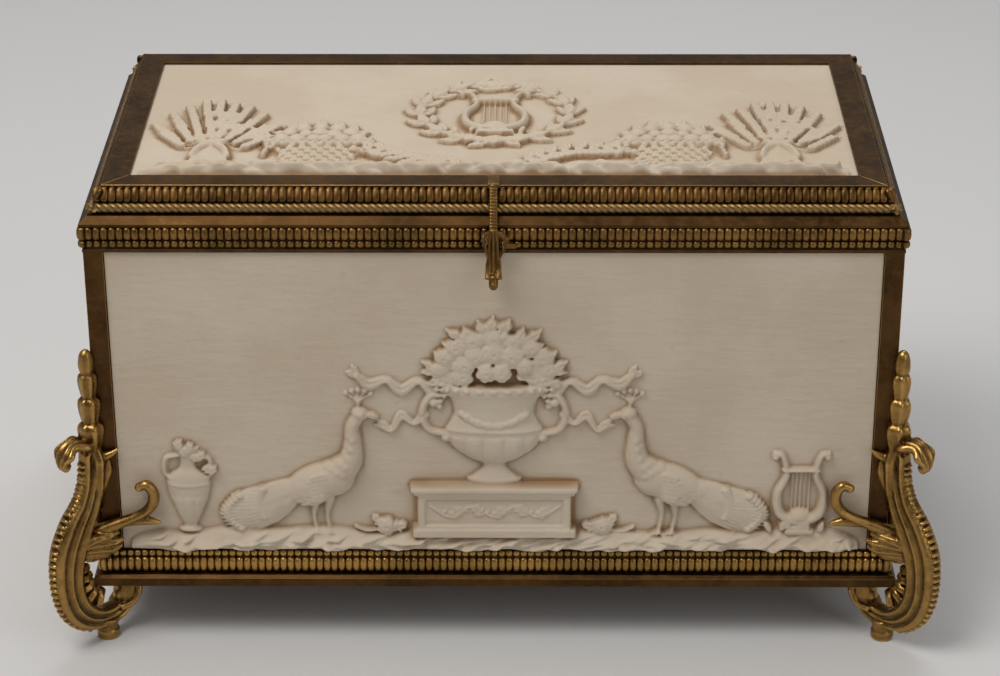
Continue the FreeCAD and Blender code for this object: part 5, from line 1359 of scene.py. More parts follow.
def front_relief(relief, high):
    ground, plinth_tall, vase_tall = 10.0, 22.0, 46.0
    ground_strip(relief, high[0], 0.0, ground, 4.2, seed=4)
    plinth(relief, 0.0, ground, 64.0, plinth_tall, 4.0, 3.0, 5.6)
    krater(relief, 0.0, ground + plinth_tall, vase_tall, 22.0, 5.6)
    bouquet(relief, 0.0, ground + plinth_tall + vase_tall - 2, 26.0, 27.0, 4.0, seed=9)
    for side in (-1, 1):
        path = [(25, 74), (31, 79.5), (38, 75), (44, 80), (51, 77.5), (56, 82)]
        ribbon(relief, [(side * u, v) for u, v in path], 2.7, 2.3)
        path = [(28.5, 64), (33, 60), (38, 63.5), (42, 57), (46, 59)]
        ribbon(relief, [(side * u, v) for u, v in path], 2.1, 2.0)
        peacock(relief, (side * 73, ground), -side)
        fallen_rose(relief, (side * 45, ground + 0.5), side)
    amphora(relief, (-127, ground - 1), 40)
    lyre(relief, (127, ground - 1), 40)


def lid_relief(relief, high):
    limit = lid_room()
    floor = LID_INSET - high[1] + 2
    ground_strip(relief, high[0] - LID_INSET, floor, 8.5, 3.4, seed=12)
    wreath(relief, (0, 4), 31.0, 3.4, seed=2)
    lyre(relief, (0, -23), 52)
    for side in (-1, 1):
        laurel_branch(relief, (side * 8, floor + 8), (side * 50, floor + 24), 10.0, 2.6)
        fruit_basket(relief, (side * 72, floor + 5), 20, 24, seed=40 + side)
        wheat_sheaf(relief, (side * 116, floor + 4), 24, 74, seed=15 + side)
    raised = np.maximum(relief.height, 0.0)
    broad = soften(raised, LID_BROAD / relief.cell)
    lowered = broad * LID_BROAD_SHARE + (raised - broad) * LID_FINE_SHARE
    proud = np.maximum(lowered - limit * LID_KNEE, 0.0)
    room = limit * (1 - LID_KNEE)
    squeezed = lowered - proud + room * (1 - np.exp(-proud / room))
    relief.height = np.where(relief.height > 0, squeezed, relief.height)


def side_relief(relief, high):
    ground_strip(relief, high[0], 0.0, 9.5, 4.0, seed=21)
    bow(relief, (0, 106), 17, 3.0)
    wreath(relief, (0, 70), 25.0, 3.2, seed=5)
    lyre(relief, (0, 50), 38)
    for side in (-1, 1):
        fallen_rose(relief, (side * 38, 9), side)
        laurel_branch(relief, (side * 14, 10), (side * 46, 34), 8.0, 2.2)


def back_relief(relief, high):
    ground_strip(relief, high[0], 0.0, 9.5, 4.0, seed=33)
    hooks = (-126, -42, 42, 126)
    for left, right in zip(hooks[:-1], hooks[1:]):
        festoon(relief, (left, 104), (right, 104), 30, 9.5, seed=left + 200)
    for hook in hooks:
        bow(relief, (hook, 106), 13, 3.0)


def relief_mesh(name, relief):
    """A closed shell over the cells where something is raised, in panel millimetres."""
    heights = relief.height
    u, v = np.meshgrid(relief.u, relief.v)
    there = heights > -0.3
    cells = there[:-1, :-1] | there[1:, :-1] | there[:-1, 1:] | there[1:, 1:]
    used = np.zeros(heights.shape, bool)
    for rows in (slice(0, -1), slice(1, None)):
        for across in (slice(0, -1), slice(1, None)):
            used[rows, across] |= cells
    number = np.full(heights.shape, -1)
    number[used] = np.arange(used.sum())
    points = np.stack([u[used], v[used], np.maximum(heights[used], BURIED)], axis=1)
    quads = np.stack([number[:-1, :-1], number[:-1, 1:], number[1:, 1:], number[1:, :-1]], axis=-1)[cells]
    mesh = mesh_from(name, points, quads.tolist())
    shape = bmesh.new()
    shape.from_mesh(mesh)
    for edge in open_edges(shape):
        for vertex in edge.verts:
            vertex.co.z = BURIED
    close_back(shape)
    settle(shape, mesh)
    return mesh


def dirt_field(relief):
    """How dark each cell is painted, part real tan staining and part painted shade: in hollows and round the
    foot of raised forms.
    """
    raised = np.maximum(relief.height, 0.0)
    grime_and_shade = np.zeros(raised.shape)
    for spread_mm, depth, share in ((0.55, 0.55, 0.45), (1.1, 1.1, 0.5), (3.6, 2.4, 0.55)):
        around = soften(raised, spread_mm / relief.cell)
        grime_and_shade += np.clip((around - raised) / depth, 0, 1) * share
    return soften(grime_and_shade, 0.45 / relief.cell)


def sampled(relief, field, points):
    """The field's values at panel points."""
    places = []
    for line, values in ((relief.v, points[:, 1]), (relief.u, points[:, 0])):
        nearest = np.round((values - line[0]) / (line[1] - line[0]))
        places.append(np.clip(nearest, 0, len(line) - 1).astype(int))
    return field[tuple(places)]


def slab_mesh(name, low, high, thickness, cell):
    """A closed panel slab with a fine front face, in panel millimetres."""
    columns = round((high[0] - low[0]) / cell)
    rows = round((high[1] - low[1]) / cell)
    shape = bmesh.new()
    bmesh.ops.create_grid(shape, x_segments=columns, y_segments=rows, size=0.5)
    for vertex in shape.verts:
        vertex.co.x = (low[0] + high[0]) / 2 + vertex.co.x * (high[0] - low[0])
        vertex.co.y = (low[1] + high[1]) / 2 + vertex.co.y * (high[1] - low[1])
    mesh = bpy.data.meshes.new(name)
    shape.to_mesh(mesh)
    shape.free()
    closed_over(mesh, -thickness)
    return mesh


def panel_frame(node):
    """A panel's half sizes and thickness in millimetres, and the matrix from its own frame."""
    if node == "lid_panel":
        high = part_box("lid_backing_board")[1]
        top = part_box("lid_back_bead")[1].z
        half = (high.x / MM, high.y / MM)
        axes = Matrix.Translation((0, 0, top)) @ Matrix.Scale(MM, 4)
        return (-half[0], -half[1]), half, (top - high.z) / MM, axes
    side = node.split("_")[0]
    low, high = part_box("right_panel" if side in ("left", "right") else "back_panel")
    across, inward = (high.y, low.x) if side in ("left", "right") else (high.x, low.y)
    outward = inward + sizes().panel_thickness
    upright = Matrix(((1, 0, 0, 0), (0, 0, -1, -outward / MM), (0, 1, 0, low.z / MM), (0, 0, 0, 1)))
    axes = about_z(SIDE_TURN[side]) @ Matrix.Scale(MM, 4) @ upright
    tall = (high.z - low.z) / MM
    return (-across / MM, 0.0), (across / MM, tall), (outward - inward) / MM, axes


def lid_room():
    """How far the lid's relief may stand up, in millimetres."""
    return (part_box("lid_panel")[1].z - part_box("lid_back_bead")[1].z) / MM


PANEL_RELIEFS = {
    "front_panel": front_relief,
    "lid_panel": lid_relief,
    "right_panel": side_relief,
    "left_panel": side_relief,
    "back_panel": back_relief,
}


def dress_panels():
    clay = finish_of(bisque)
    for node, model in PANEL_RELIEFS.items():
        low, high, thickness, axes = panel_frame(node)
        body = "lid" if node == "lid_panel" else "case"
        cell = RELIEF_CELL if node in ("front_panel", "lid_panel") else PLAIN_CELL
        relief = Relief(low, high, cell)
        model(relief, high)
        relief.finished()
        # Tan darkening stored as hollow on slab and relief: part real staining, part painted shade.
        grime_and_shade = dirt_field(relief) * (LID_GRIME_AND_SHADE if node == "lid_panel" else 1.0)
        slab = slab_mesh(node + "_slab", low, high, thickness, cell * SLAB_SHARE)
        store(slab, "hollow", sampled(relief, grime_and_shade, vertex_array(slab)) * (vertex_array(slab)[:, 2] > -1))
        slab.transform(axes)
        new_piece(node + "_slab", slab, clay, body, [node])
        mesh = relief_mesh(node + "_relief", relief)
        store(mesh, "hollow", sampled(relief, grime_and_shade, vertex_array(mesh)))
        mesh.transform(axes)
        mesh.shade_smooth()
        new_piece(node + "_relief", mesh, clay, body)


# Cast forms: closed shells in millimetres that are fused into one casting

def rows_of_quads(rings, points_in_ring):
    """Faces of a closed tube of rings with a cap at each end."""
    faces = []
    for ring in range(rings - 1):
        for number in range(points_in_ring):
            following = (number + 1) % points_in_ring
            here, there = ring * points_in_ring, (ring + 1) * points_in_ring
            faces.append((here + number, here + following, there + following, there + number))
    faces.append(tuple(reversed(range(points_in_ring))))
    faces.append(tuple(range((rings - 1) * points_in_ring, rings * points_in_ring)))
    return faces


def unit(vectors):
    return vectors / np.maximum(np.linalg.norm(vectors, axis=-1, keepdims=True), 1e-9)


def swept(path, across, outline):
    """A shell along a 3-D path; outline gives (out, wide) offsets for every ring."""
    path = np.asarray(path, float)
    tangents = unit(np.gradient(path, axis=0))
    across = np.broadcast_to(np.asarray(across, float), path.shape)
    across = unit(across - np.sum(across * tangents, axis=1, keepdims=True) * tangents)
    out = np.cross(tangents, across)
    offsets, widths = outline
    rings = path[:, None] + offsets[:, :, None] * out[:, None] + widths[:, :, None] * across[:, None]
    return rings.reshape(-1, 3), rows_of_quads(len(path), offsets.shape[1])


def ring_angles(count):
    return np.linspace(0.0, 2 * math.pi, count, endpoint=False)[None, :]


def tube(path, radii, across=(0.0, 0.0, 1.0), flat=1.0):
    """A round rod along a smooth path, its radii running from start to end."""
    points = curve_through(path)
    radius = spread(radii, len(points))[:, None]
    angles = ring_angles(14)
    return swept(points, across, (radius * np.cos(angles), radius * flat * np.sin(angles)))


def blade(path, across, widths, thick, droop=0.0, ribs=3, scallops=0):
    """A leaf along a path, its edges drooping, with ribs along it and a scalloped edge."""
    points = curve_through(path)
    wide = spread(widths, len(points))[:, None]
    if scallops:
        wide = wide * (1 + 0.2 * np.cos(2 * math.pi * scallops * np.linspace(0, 1, len(points)))[:, None])
    angles = ring_angles(26)
    share = np.cos(angles)
    out = thick * np.sin(angles) * (1 + 0.35 * np.cos(ribs * math.pi * share)) - droop * share ** 2
    return swept(points, across, (out * np.minimum(1, wide / 2), wide * share))


def ball(centre, radii, axes=None, square=1.0):
    """An ellipsoid with its radii along three axes; a square under 1 makes it blocky."""
    rings, around = 8, 12
    turned = np.eye(3) if axes is None else np.asarray(axes, float)
    levels = np.linspace(-math.pi / 2, math.pi / 2, rings + 2)[1:-1, None]
    angles = ring_angles(around)
    shape = np.stack(np.broadcast_arrays(
        np.cos(levels) * np.cos(angles), np.cos(levels) * np.sin(angles), np.sin(levels)), axis=-1)
    shape = np.sign(shape) * np.abs(shape) ** square
    points = shape.reshape(-1, 3) * np.asarray(radii) @ turned + np.asarray(centre)
    return points, rows_of_quads(rings, around)


def lathe(centre, profile, lobes=0, depth=0.0):
    """A turned shell from (height, radius) points, fluted where lobes are given."""
    outline = curve_through(profile, 4)
    angles = ring_angles(36)
    swell = 1 + depth * np.cos(lobes * angles)
    radius = np.maximum(outline[:, 1:], 0.05) * swell
    points = np.stack([centre[0] + radius * np.cos(angles), centre[1] + radius * np.sin(angles),
                       np.broadcast_to(outline[:, :1], radius.shape)], axis=-1)
    return points.reshape(-1, 3), rows_of_quads(len(outline), 36)


def block(low, high):
    outline = ((low[0], low[1]), (high[0], low[1]), (high[0], high[1]), (low[0], high[1]))
    corners = [(x, y, z) for z in (low[2], high[2]) for x, y in outline]
    return np.asarray(corners, float), rows_of_quads(2, 4)


def mirrored(part):
    """The same shell along the other wall."""
    points, faces = part
    return points[:, (1, 0, 2)], [tuple(reversed(face)) for face in faces]


# Feet, in the frame of a post's outer corner: X and Y inwards along the walls
# r runs outwards along the corner's diagonal and s sideways

def diagonal(r, s, z):
    root = math.sqrt(0.5)
    return np.stack(np.broadcast_arrays((s - r) * root, (-s - r) * root, z), axis=-1)


SIDEWAYS = diagonal(np.array(0.0), np.array(1.0), np.array(0.0))
SCROLL_PATH = [
    (3.4, 90), (4.4, 77), (7.6, 67), (13.4, 58), (18.2, 48), (20.0, 38), (19.5, 28), (16.4, 19.5),
    (10.5, 13.4), (3.0, 10.6), (-4.5, 11.0), (-9.4, 14.6), (-9.6, 19.4), (-6.2, 21.2)]
SCROLL_DEPTH = [4.4, 4.8, 5.8, 7.2, 7.4, 6.8, 6.3, 6.1, 5.4, 4.3, 4.0, 3.5, 2.8, 2.2]
SCROLL_WIDTH = [4.2, 4.4, 4.8, 5.4, 5.7, 5.5, 5.2, 5.0, 4.8, 4.6, 4.4, 4.0, 3.4, 2.6]
DENTIL_PITCH = 2.5
FOOT_HOLLOWS = (18, 0.34)


def scroll_band():
    """The C-scroll and stem: raised borders either side of a channel with a fillet in it."""
    line = curve_through(SCROLL_PATH, 8)
    depth = spread(SCROLL_DEPTH, len(line))[:, None]
    width = spread(SCROLL_WIDTH, len(line))[:, None]
    angles = ring_angles(48)
    cosine, sine = np.cos(angles), np.sin(angles)
    out = np.sign(cosine) * np.abs(cosine) ** 0.75
    channel = 1 - 0.52 * np.exp(-(cosine / 0.42) ** 2) + 0.4 * np.exp(-(cosine / 0.14) ** 2)
    wide = np.sign(sine) * np.abs(sine) ** 0.5 * channel
    path = diagonal(line[:, 0], np.zeros(len(line)), line[:, 1])
    return swept(path, -SIDEWAYS, (depth * out, width * wide))


def scroll_dentils():
    """A row of blocks along the scroll's outer edge."""
    line = curve_through(SCROLL_PATH, 24)
    steps = np.hypot(*np.diff(line, axis=0).T)
    run = np.concatenate([[0.0], np.cumsum(steps)])
    depth = spread(SCROLL_DEPTH, len(line))
    parts = []
    for distance in np.arange(5.0, run[-1] - 28.0, DENTIL_PITCH):
        index = int(np.searchsorted(run, distance))
        way = unit(line[index] - line[index - 1])
        outward = np.array((-way[1], way[0]))
        spot = line[index] + outward * depth[index] * 0.98
        axes = [diagonal(way[0], 0.0, way[1]), diagonal(outward[0], 0.0, outward[1]), SIDEWAYS]
        parts.append(ball(diagonal(spot[0], 0.0, spot[1]), (0.86, 1.5, 2.5), axes, square=0.6))
    return parts


def husk_finial():
    """Three full husks, one in another, with a round bud on top."""
    axis = diagonal(2.4, 0.0, 0.0)
    husk = [(0.0, 0.62), (0.14, 0.76), (0.38, 0.92), (0.62, 1.02), (0.8, 1.02), (0.92, 0.9), (0.98, 0.72),
            (1.0, 0.5)]
    bud = [(0.0, 0.6), (0.25, 0.98), (0.55, 1.0), (0.82, 0.78), (0.96, 0.4), (1.0, 0.1)]
    parts = []
    low, tall, radius = 90.0, 13.4, 5.0
    for number in range(4):
        profile = bud if number == 3 else husk
        outline = [(low + tall * share, radius * wide) for share, wide in profile]
        parts.append(lathe(axis, outline, 6, 0.03 if number == 3 else 0.09))
        low += tall * 0.9
        tall *= 0.96
        radius *= 0.86
    return parts


def stem_leaves():
    """The broad leaf that rolls outwards and the pointed tips along the walls."""
    curl = [(2.5, 84), (4.4, 90.5), (8.2, 95.0), (12.8, 95.6), (16.2, 93.0), (17.2, 89.2), (15.6, 87.2)]
    path = [diagonal(r, 0.0, z) for r, z in curl]
    parts = [blade(path, -SIDEWAYS, [2.6, 4.4, 5.6, 5.8, 5.2, 4.0, 2.2], 2.2, droop=0.5, ribs=5, scallops=3)]
    spine = [diagonal(2.0, 0.0, z) for z in (62, 74, 86, 93)]
    parts.append(blade(spine, -SIDEWAYS, [2.0, 5.2, 6.6, 3.5], 2.4, ribs=3))
    tip = [(-1.5, -1.2, 84.5), (2.5, -1.8, 87.0), (6.0, -1.6, 88.5), (9.2, -1.0, 90.6)]
    horn = tube(tip, [2.6, 2.2, 1.5, 0.4])
    edge = [(-3.0, -2.4, 66.0), (0.5, -2.2, 74.0), (2.8, -1.6, 81.0), (3.4, -1.0, 87.0)]
    fin = blade(edge, (0.0, 1.0, 0.0), [1.2, 1.8, 1.8, 0.8], 3.2, ribs=3)
    return parts + [horn, mirrored(horn), fin, mirrored(fin)]


def acanthus():
    """The lobed leaf that reaches back to each wall, and the leaf along the scroll's hollow."""
    root = diagonal(14.5, 1.0, 46.5)
    parts = [ball(diagonal(14.0, 0.0, 46.5), (4.6, 4.6, 5.0))]
    lobes = ((7.4, 51.6), (9.4, 48.8), (8.6, 45.9), (5.6, 43.6), (1.2, 42.0))
    for number, (reach, level) in enumerate(lobes):
        bend = (-3.4 - 0.5 * number, -8.8, 46.8 + (level - 46.8) * 0.75)
        near = (reach - 4.4, -5.6 - 0.2 * number, level - 0.2)
        tip = (reach, -3.2 - 0.5 * number, level + 0.5)
        lobe = blade([root, bend, near, tip], (0.0, 0.0, 1.0), [1.8, 2.4, 2.3, 0.7], 1.7, droop=0.7, ribs=3)
        parts += [lobe, mirrored(lobe)]
    middle = np.array((2.5, 30.0))
    for r, z in ((14.2, 39.5), (13.6, 34.0), (12.6, 28.6), (10.0, 23.6), (5.6, 19.4)):
        foot = np.array((r, z))
        inward = unit(middle - foot)
        along = np.array((inward[1], -inward[0])) * (1 if inward[1] < 0.3 else -1)
        tip = foot + inward * 5.6 + along * 2.0
        spots = [foot - inward * 1.5, foot + inward * 2.6, tip]
        path = [diagonal(spot[0], 0.0, spot[1]) for spot in spots]
        parts.append(blade(path, -SIDEWAYS, [3.4, 3.6, 1.4], 1.7, droop=0.6, ribs=3))
    return parts


def tendrils():
    """The arms along the walls with hooked ends and a leaf lip under each."""
    level = -3.3
    across = (0.0, 1.0, 0.0)
    arm = [(-4.0, 51.5), (2.5, 54.2), (9.0, 57.0), (15.0, 59.6), (19.6, 62.6), (22.4, 66.8), (22.4, 71.4),
           (20.0, 74.6), (16.8, 73.8)]
    thick = [3.4, 2.9, 2.4, 2.2, 2.3, 2.5, 2.4, 2.2, 1.7]
    rod = tube([(a, level, z) for a, z in arm], thick, across, flat=1.05)
    under = ((9.0, 56.2), (15.0, 57.6), (20.5, 57.6), (25.0, 56.6))
    lip = tube([(a, level, z) for a, z in under], [1.4, 2.1, 1.9, 0.7], across)
    crease = tube([(a, level - 2.0, z) for a, z in arm[1:7]], [0.6, 0.7, 0.7, 0.7, 0.6, 0.4], across)
    bud = ball((17.0, level, 73.6), (2.1, 2.0, 2.0))
    parts = [rod, lip, crease, bud]
    return parts + [mirrored(part) for part in parts]


def toe_and_block():
    """The peg that stands on the table, the volute over it and the block under the base."""
    peg = lathe(diagonal(0.8, 0.0, 0.0), [(0.0, 4.4), (0.6, 4.8), (3.6, 4.8), (4.4, 4.2), (9.0, 4.6)])
    eye = ball(diagonal(-6.2, 0.0, 17.6), (3.0, 3.0, 3.2))
    spots = ((-4.0, 3.0, 13.0), (-9.0, 4.4, 15.0), (-12.4, 4.6, 20.0), (-11.5, 4.0, 24.5))
    frill = []
    for side in (-1, 1):
        path = [diagonal(r, side * s, z) for r, s, z in spots]
        frill.append(blade(path, SIDEWAYS, [2.0, 3.0, 2.8, 1.0], 1.6, ribs=3))
    seat = lathe(diagonal(-10.1, 0.0, 0.0), [(14.6, 5.2), (18.0, 5.8), (22.0, 5.4), (26.5, 6.4)])
    return [peg, eye, *frill, seat]


def dress_feet():
    gilt = finish_of(foot_gilt)
    parts = [scroll_band()]
    for group in (scroll_dentils, husk_finial, stem_leaves, acanthus, tendrils, toe_and_block):
        parts += group()
    casting = fused_mesh("foot_casting", parts, sizes().foot_voxel / MM, 2)
    mark_hollows(casting, *FOOT_HOLLOWS)
    casting.transform(Matrix.Scale(MM, 4))
    posts = {"front_left": 0, "front_right": 90, "back_right": 180, "back_left": 270}
    for corner, turn in posts.items():
        low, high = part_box(f"{corner}_post")
        spot = Vector((low.x if "left" in corner else high.x, low.y if "front" in corner else high.y, 0.0))
        mesh = casting.copy()
        mesh.transform(Matrix.Translation(spot) @ about_z(turn))
        new_piece(f"{corner}_foot_casting", mesh, gilt, "case", [f"{corner}_foot"])
    bpy.data.meshes.remove(casting)


# Hasp: strap, acanthus leaf, tip and tongue, in millimetres

COLLAR_RISE = 11.2
HASP_HOLLOWS = (14, 0.25)


def hasp_frame():
    """The rim's front plane and the levels that the hasp passes, in millimetres."""
    rim_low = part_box("rim_front_rail")[0]
    pin_low, pin_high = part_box("hasp_pin")
    bolt_low, bolt_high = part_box("lock_bolt")
    return {
        "front": rim_low.y / MM,
        "rim_low": rim_low.z / MM,
        "axis": ((pin_low.y + pin_high.y) / 2 / MM, (pin_low.z + pin_high.z) / 2 / MM),
        "tip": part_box("hasp")[0].z / MM,
        "bolt_level": (bolt_low.z + bolt_high.z) / 2 / MM,
    }


def hasp_strap(front, axis, collar):
    """The narrow strap from the pin over the rope and the rim, its face cut with fine ridges."""
    path = [(0, axis[0] - 0.5, axis[1]), (0, front + 4.6, axis[1] - 3.2), (0, front + 2.1, axis[1] - 6.6),
            (0, front + 0.4, axis[1] - 10.4), (0, front - 1.35, collar + 1.2), (0, front - 2.3, collar - 2.5),
            (0, front - 2.4, collar - 8.0)]
    points = curve_through(path, 24)
    run = np.concatenate([[0.0], np.cumsum(np.linalg.norm(np.diff(points, axis=0), axis=1))])
    angles = ring_angles(24)
    across, along = np.cos(angles), np.sin(angles)
    ridge = 1 + 0.28 * np.cos(2 * math.pi * run / 1.25)[:, None] * (across > 0.3)
    thick = 0.74 * np.sign(across) * np.abs(across) ** 0.5 * ridge
    wide = np.broadcast_to(1.65 * np.sign(along) * np.abs(along) ** 0.45, thick.shape)
    return [swept(points, (1.0, 0.0, 0.0), (thick, wide))]


def hasp_leaf(front, collar, tip):
    """The acanthus leaf: a ridged middle, two free side lobes, a lip and a blunt tip under it."""
    span = collar - tip

    def at(x, out, share):
        return (x, front - out, collar - span * share)

    fall = ((2.5, 0.0), (2.6, 0.2), (2.7, 0.42), (3.4, 0.6), (5.0, 0.74), (7.0, 0.81))
    middle = [at(0, out, share) for out, share in fall]
    parts = [blade(middle, (1.0, 0.0, 0.0), [1.5, 2.7, 2.9, 2.7, 2.5, 3.0], 0.95, droop=-0.6, ribs=3)]
    ridge = [(x, y - 0.75, z) for x, y, z in middle[:-1]]
    parts.append(tube(ridge, [0.5, 0.8, 0.75, 0.65, 0.5]))
    for side, reach in ((-1, 3.5), (1, 4.7)):
        lobe = [at(side * 0.9, 2.5, 0.02), at(side * reach * 0.72, 3.3, 0.08), at(side * reach, 4.4, 0.17),
                at(side * reach * 0.84, 3.9, 0.34), at(side * 2.2, 3.2, 0.54)]
        widths = [0.7, 1.4, 1.7, 1.3, 0.5]
        parts.append(blade(lobe, (0.35 * side, 0.25, 1.0), widths, 0.66, droop=0.3, ribs=1))
        curl = ((1.9, 3.1, 0.46), (2.4, 3.9, 0.6), (2.5, 5.6, 0.74), (3.0, 7.4, 0.8))
        frond = [at(side * x, out, share) for x, out, share in curl]
        parts.append(tube(frond, [0.5, 0.75, 0.8, 0.55]))
    knob = [at(0, 4.9, 0.72), at(0, 5.9, 0.85), at(0, 7.3, 0.94), at(0, 8.0, 0.96)]
    parts.append(tube(knob, [1.7, 1.9, 1.85, 1.2], across=(1.0, 0.0, 0.0)))
    parts.append(ball(at(0, 2.5, 0.0), (2.1, 1.05, 0.8)))
    return parts


def hasp_tongue(front, level):
    """The plate behind the leaf with the eye that the bolt passes."""
    eye_y = front + 3.0
    turns = np.linspace(0, 2 * math.pi, 13)
    ring = [(0.0, eye_y + 1.3 * math.cos(turn), level + 1.45 * math.sin(turn)) for turn in turns]
    parts = [tube(ring, 0.5, across=(1.0, 0.0, 0.0), flat=1.25)]
    half, back = 0.62, front - 2.6
    for side in (-1, 1):
        bar = level + side * 1.3
        parts.append(block((-half, back, bar - 0.55), (half, eye_y, bar + 0.55)))
    parts.append(block((-half, back, level - 1.8), (half, eye_y - 1.4, level + 1.8)))
    return parts


def dress_hasp():
    place = hasp_frame()
    collar = place["rim_low"] + COLLAR_RISE
    knuckle = tube([(-0.95, *place["axis"]), (0.95, *place["axis"])], 1.22, across=(0.0, 0.0, 1.0))
    front = place["front"]
    parts = [knuckle, *hasp_strap(front, place["axis"], collar), *hasp_leaf(front, collar, place["tip"])]
    parts += hasp_tongue(front, place["bolt_level"])
    mesh = fused_mesh("hasp_casting", parts, sizes().hasp_voxel / MM, 1)
    mark_hollows(mesh, *HASP_HOLLOWS)
    mesh.transform(Matrix.Scale(MM, 4))
    bronze = finish_of(hasp_bronze)
    new_piece("hasp_casting", mesh, bronze, "hasp", ["hasp"])
    for node, body, round_by in (("hasp_bracket", "lid", 0.25), ("lock_bolt", "bolt", 0.2)):
        new_piece(node + "_worn", worn_copy(node, round_by * MM), bronze, body, [node])


# Linings: tufted pads of faded silk, in millimetres

SHEET_CELL = 4.0
PAD_PRESSURE = 14.0
PAD_SLACK = 0.035
CLOTH_FRAMES = 20
PAD_EDGE = 1.2
BUTTON_RADIUS = 3.2
BUTTON_RISE = 1.5
TUFT_PITCH = 46.0
TUFTED_SHARE = 0.5
PLAIN_SHARE = 0.8
PAD_HOLLOWS = (5, 0.5)


def tuft_places(half, pitch):
    """A diamond lattice of buttons inside a pad's edges."""
    rows = round(half[1] / pitch) * 2 + 1
    row_step = 2 * half[1] / (rows + 1)
    columns = round(2 * half[0] / pitch)
    column_step = 2 * half[0] / columns
    places = []
    for row in range(rows):
        count = columns - (row + 1) % 2
        for number in range(count):
            places.append(((number - (count - 1) / 2) * column_step, (row - (rows - 1) / 2) * row_step))
    return np.asarray(places)


def blown_sheet(name, half, buttons):
    """A slack sheet, held along its rim and at its buttons, that the cloth solver blows up."""
    shape = bmesh.new()
    columns, rows = (round(2 * size / SHEET_CELL) for size in half)
    bmesh.ops.create_grid(shape, x_segments=columns, y_segments=rows, size=0.5)
    bmesh.ops.scale(shape, vec=(2 * half[0] * MM, 2 * half[1] * MM, 1.0), verts=shape.verts)
    mesh = bpy.data.meshes.new(name)
    shape.to_mesh(mesh)
    shape.free()
    points = vertex_array(mesh) / MM
    held = np.minimum(half[0] - np.abs(points[:, 0]), half[1] - np.abs(points[:, 1])) < SHEET_CELL / 4
    for spot in buttons:
        held |= np.hypot(points[:, 0] - spot[0], points[:, 1] - spot[1]) < SHEET_CELL * 0.75
    holder = stand(name, mesh)
    holder.vertex_groups.new(name="held").add(np.flatnonzero(held).tolist(), 1.0, "REPLACE")
    cloth = holder.modifiers.new("silk", "CLOTH").settings
    cloth.vertex_group_mass = "held"
    cloth.use_pressure = True
    cloth.uniform_pressure_force = PAD_PRESSURE
    cloth.shrink_min = -PAD_SLACK
    cloth.effector_weights.gravity = 0.0
    for number in range(1, CLOTH_FRAMES + 1):
        bpy.context.scene.frame_set(number)
    finer = holder.modifiers.new("finer", "SUBSURF")
    finer.levels = finer.render_levels = 1
    blown = evaluated_mesh(holder, name)
    bpy.context.scene.frame_set(1)
    return blown


def pad_mesh(name, half, thick, pitch):
    """A silk pad drawn down at its buttons; its back lies at zero and its crown at its full thickness."""
    buttons = tuft_places(half, pitch) if pitch else np.zeros((0, 2))
    mesh = blown_sheet(name, half, buttons)
    points = vertex_array(mesh) / MM
    rise = np.clip(points[:, 2], 0.0, None)
    edge = np.minimum(half[0] - np.abs(points[:, 0]), half[1] - np.abs(points[:, 1]))
    rolled = np.sqrt(np.clip(1 - (1 - np.clip(edge / PAD_EDGE, 0, 1)) ** 2, 0, 1))
    low = thick * (TUFTED_SHARE if pitch else PLAIN_SHARE)
    points[:, 2] = low * (0.7 + 0.3 * rolled) + (thick - low) * rise / max(rise.max(), 1e-6)
    points[:, 0] = np.clip(points[:, 0], -half[0], half[0])
    points[:, 1] = np.clip(points[:, 1], -half[1], half[1])
    mesh.vertices.foreach_set("co", points.ravel())
    closed_over(mesh, 0.0)
    mark_hollows(mesh, *PAD_HOLLOWS)
    add_buttons(mesh, buttons, low)
    mesh.shade_smooth()
    return mesh


def add_buttons(mesh, buttons, level):
    """Covered buttons that lie in a pad's hollows."""
    shape = bmesh.new()
    shape.from_mesh(mesh)
    for u, v in buttons:
        points, faces = ball((u, v, level), (BUTTON_RADIUS, BUTTON_RADIUS, BUTTON_RISE))
        corners = [shape.verts.new(point) for point in points]
        for face in faces:
            shape.faces.new([corners[index] for index in face])
    settle(shape, mesh)


def dress_linings():
    cloth = finish_of(faded_silk)
    pads = {
        "floor_pad": ("case", TUFT_PITCH, "+Z"),
        "lid_pad": ("lid", TUFT_PITCH, "-Z"),
        "front_lining": ("case", 0.0, "+Y"),
        "back_lining": ("case", 0.0, "-Y"),
        "left_lining": ("case", 0.0, "+X"),
        "right_lining": ("case", 0.0, "-X"),
    }
    upright = Matrix.Rotation(math.pi / 2, 4, "X")
    facing = {"+Z": Matrix.Identity(4), "-Z": Matrix.Rotation(math.pi, 4, "X"), "-Y": upright}
    for way, turn in (("+Y", math.pi), ("+X", math.pi / 2), ("-X", -math.pi / 2)):
        facing[way] = Matrix.Rotation(turn, 4, "Z") @ upright
    for node, (body, pitch, way) in pads.items():
        low, high = (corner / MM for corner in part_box(node))
        size = high - low
        index = "XYZ".index(way[1])
        flat = {0: (size.y, size.z), 1: (size.x, size.z), 2: (size.x, size.y)}[index]
        mesh = pad_mesh(node + "_silk", (flat[0] / 2, flat[1] / 2), size[index], pitch)
        spot = (low + high) / 2
        spot[index] = low[index] if way[0] == "+" else high[index]
        mesh.transform(Matrix.Scale(MM, 4) @ Matrix.Translation(spot) @ facing[way])
        piece = new_piece(node + "_silk", mesh, cloth, body, [node])


# Hardware and boards that keep their construction shape

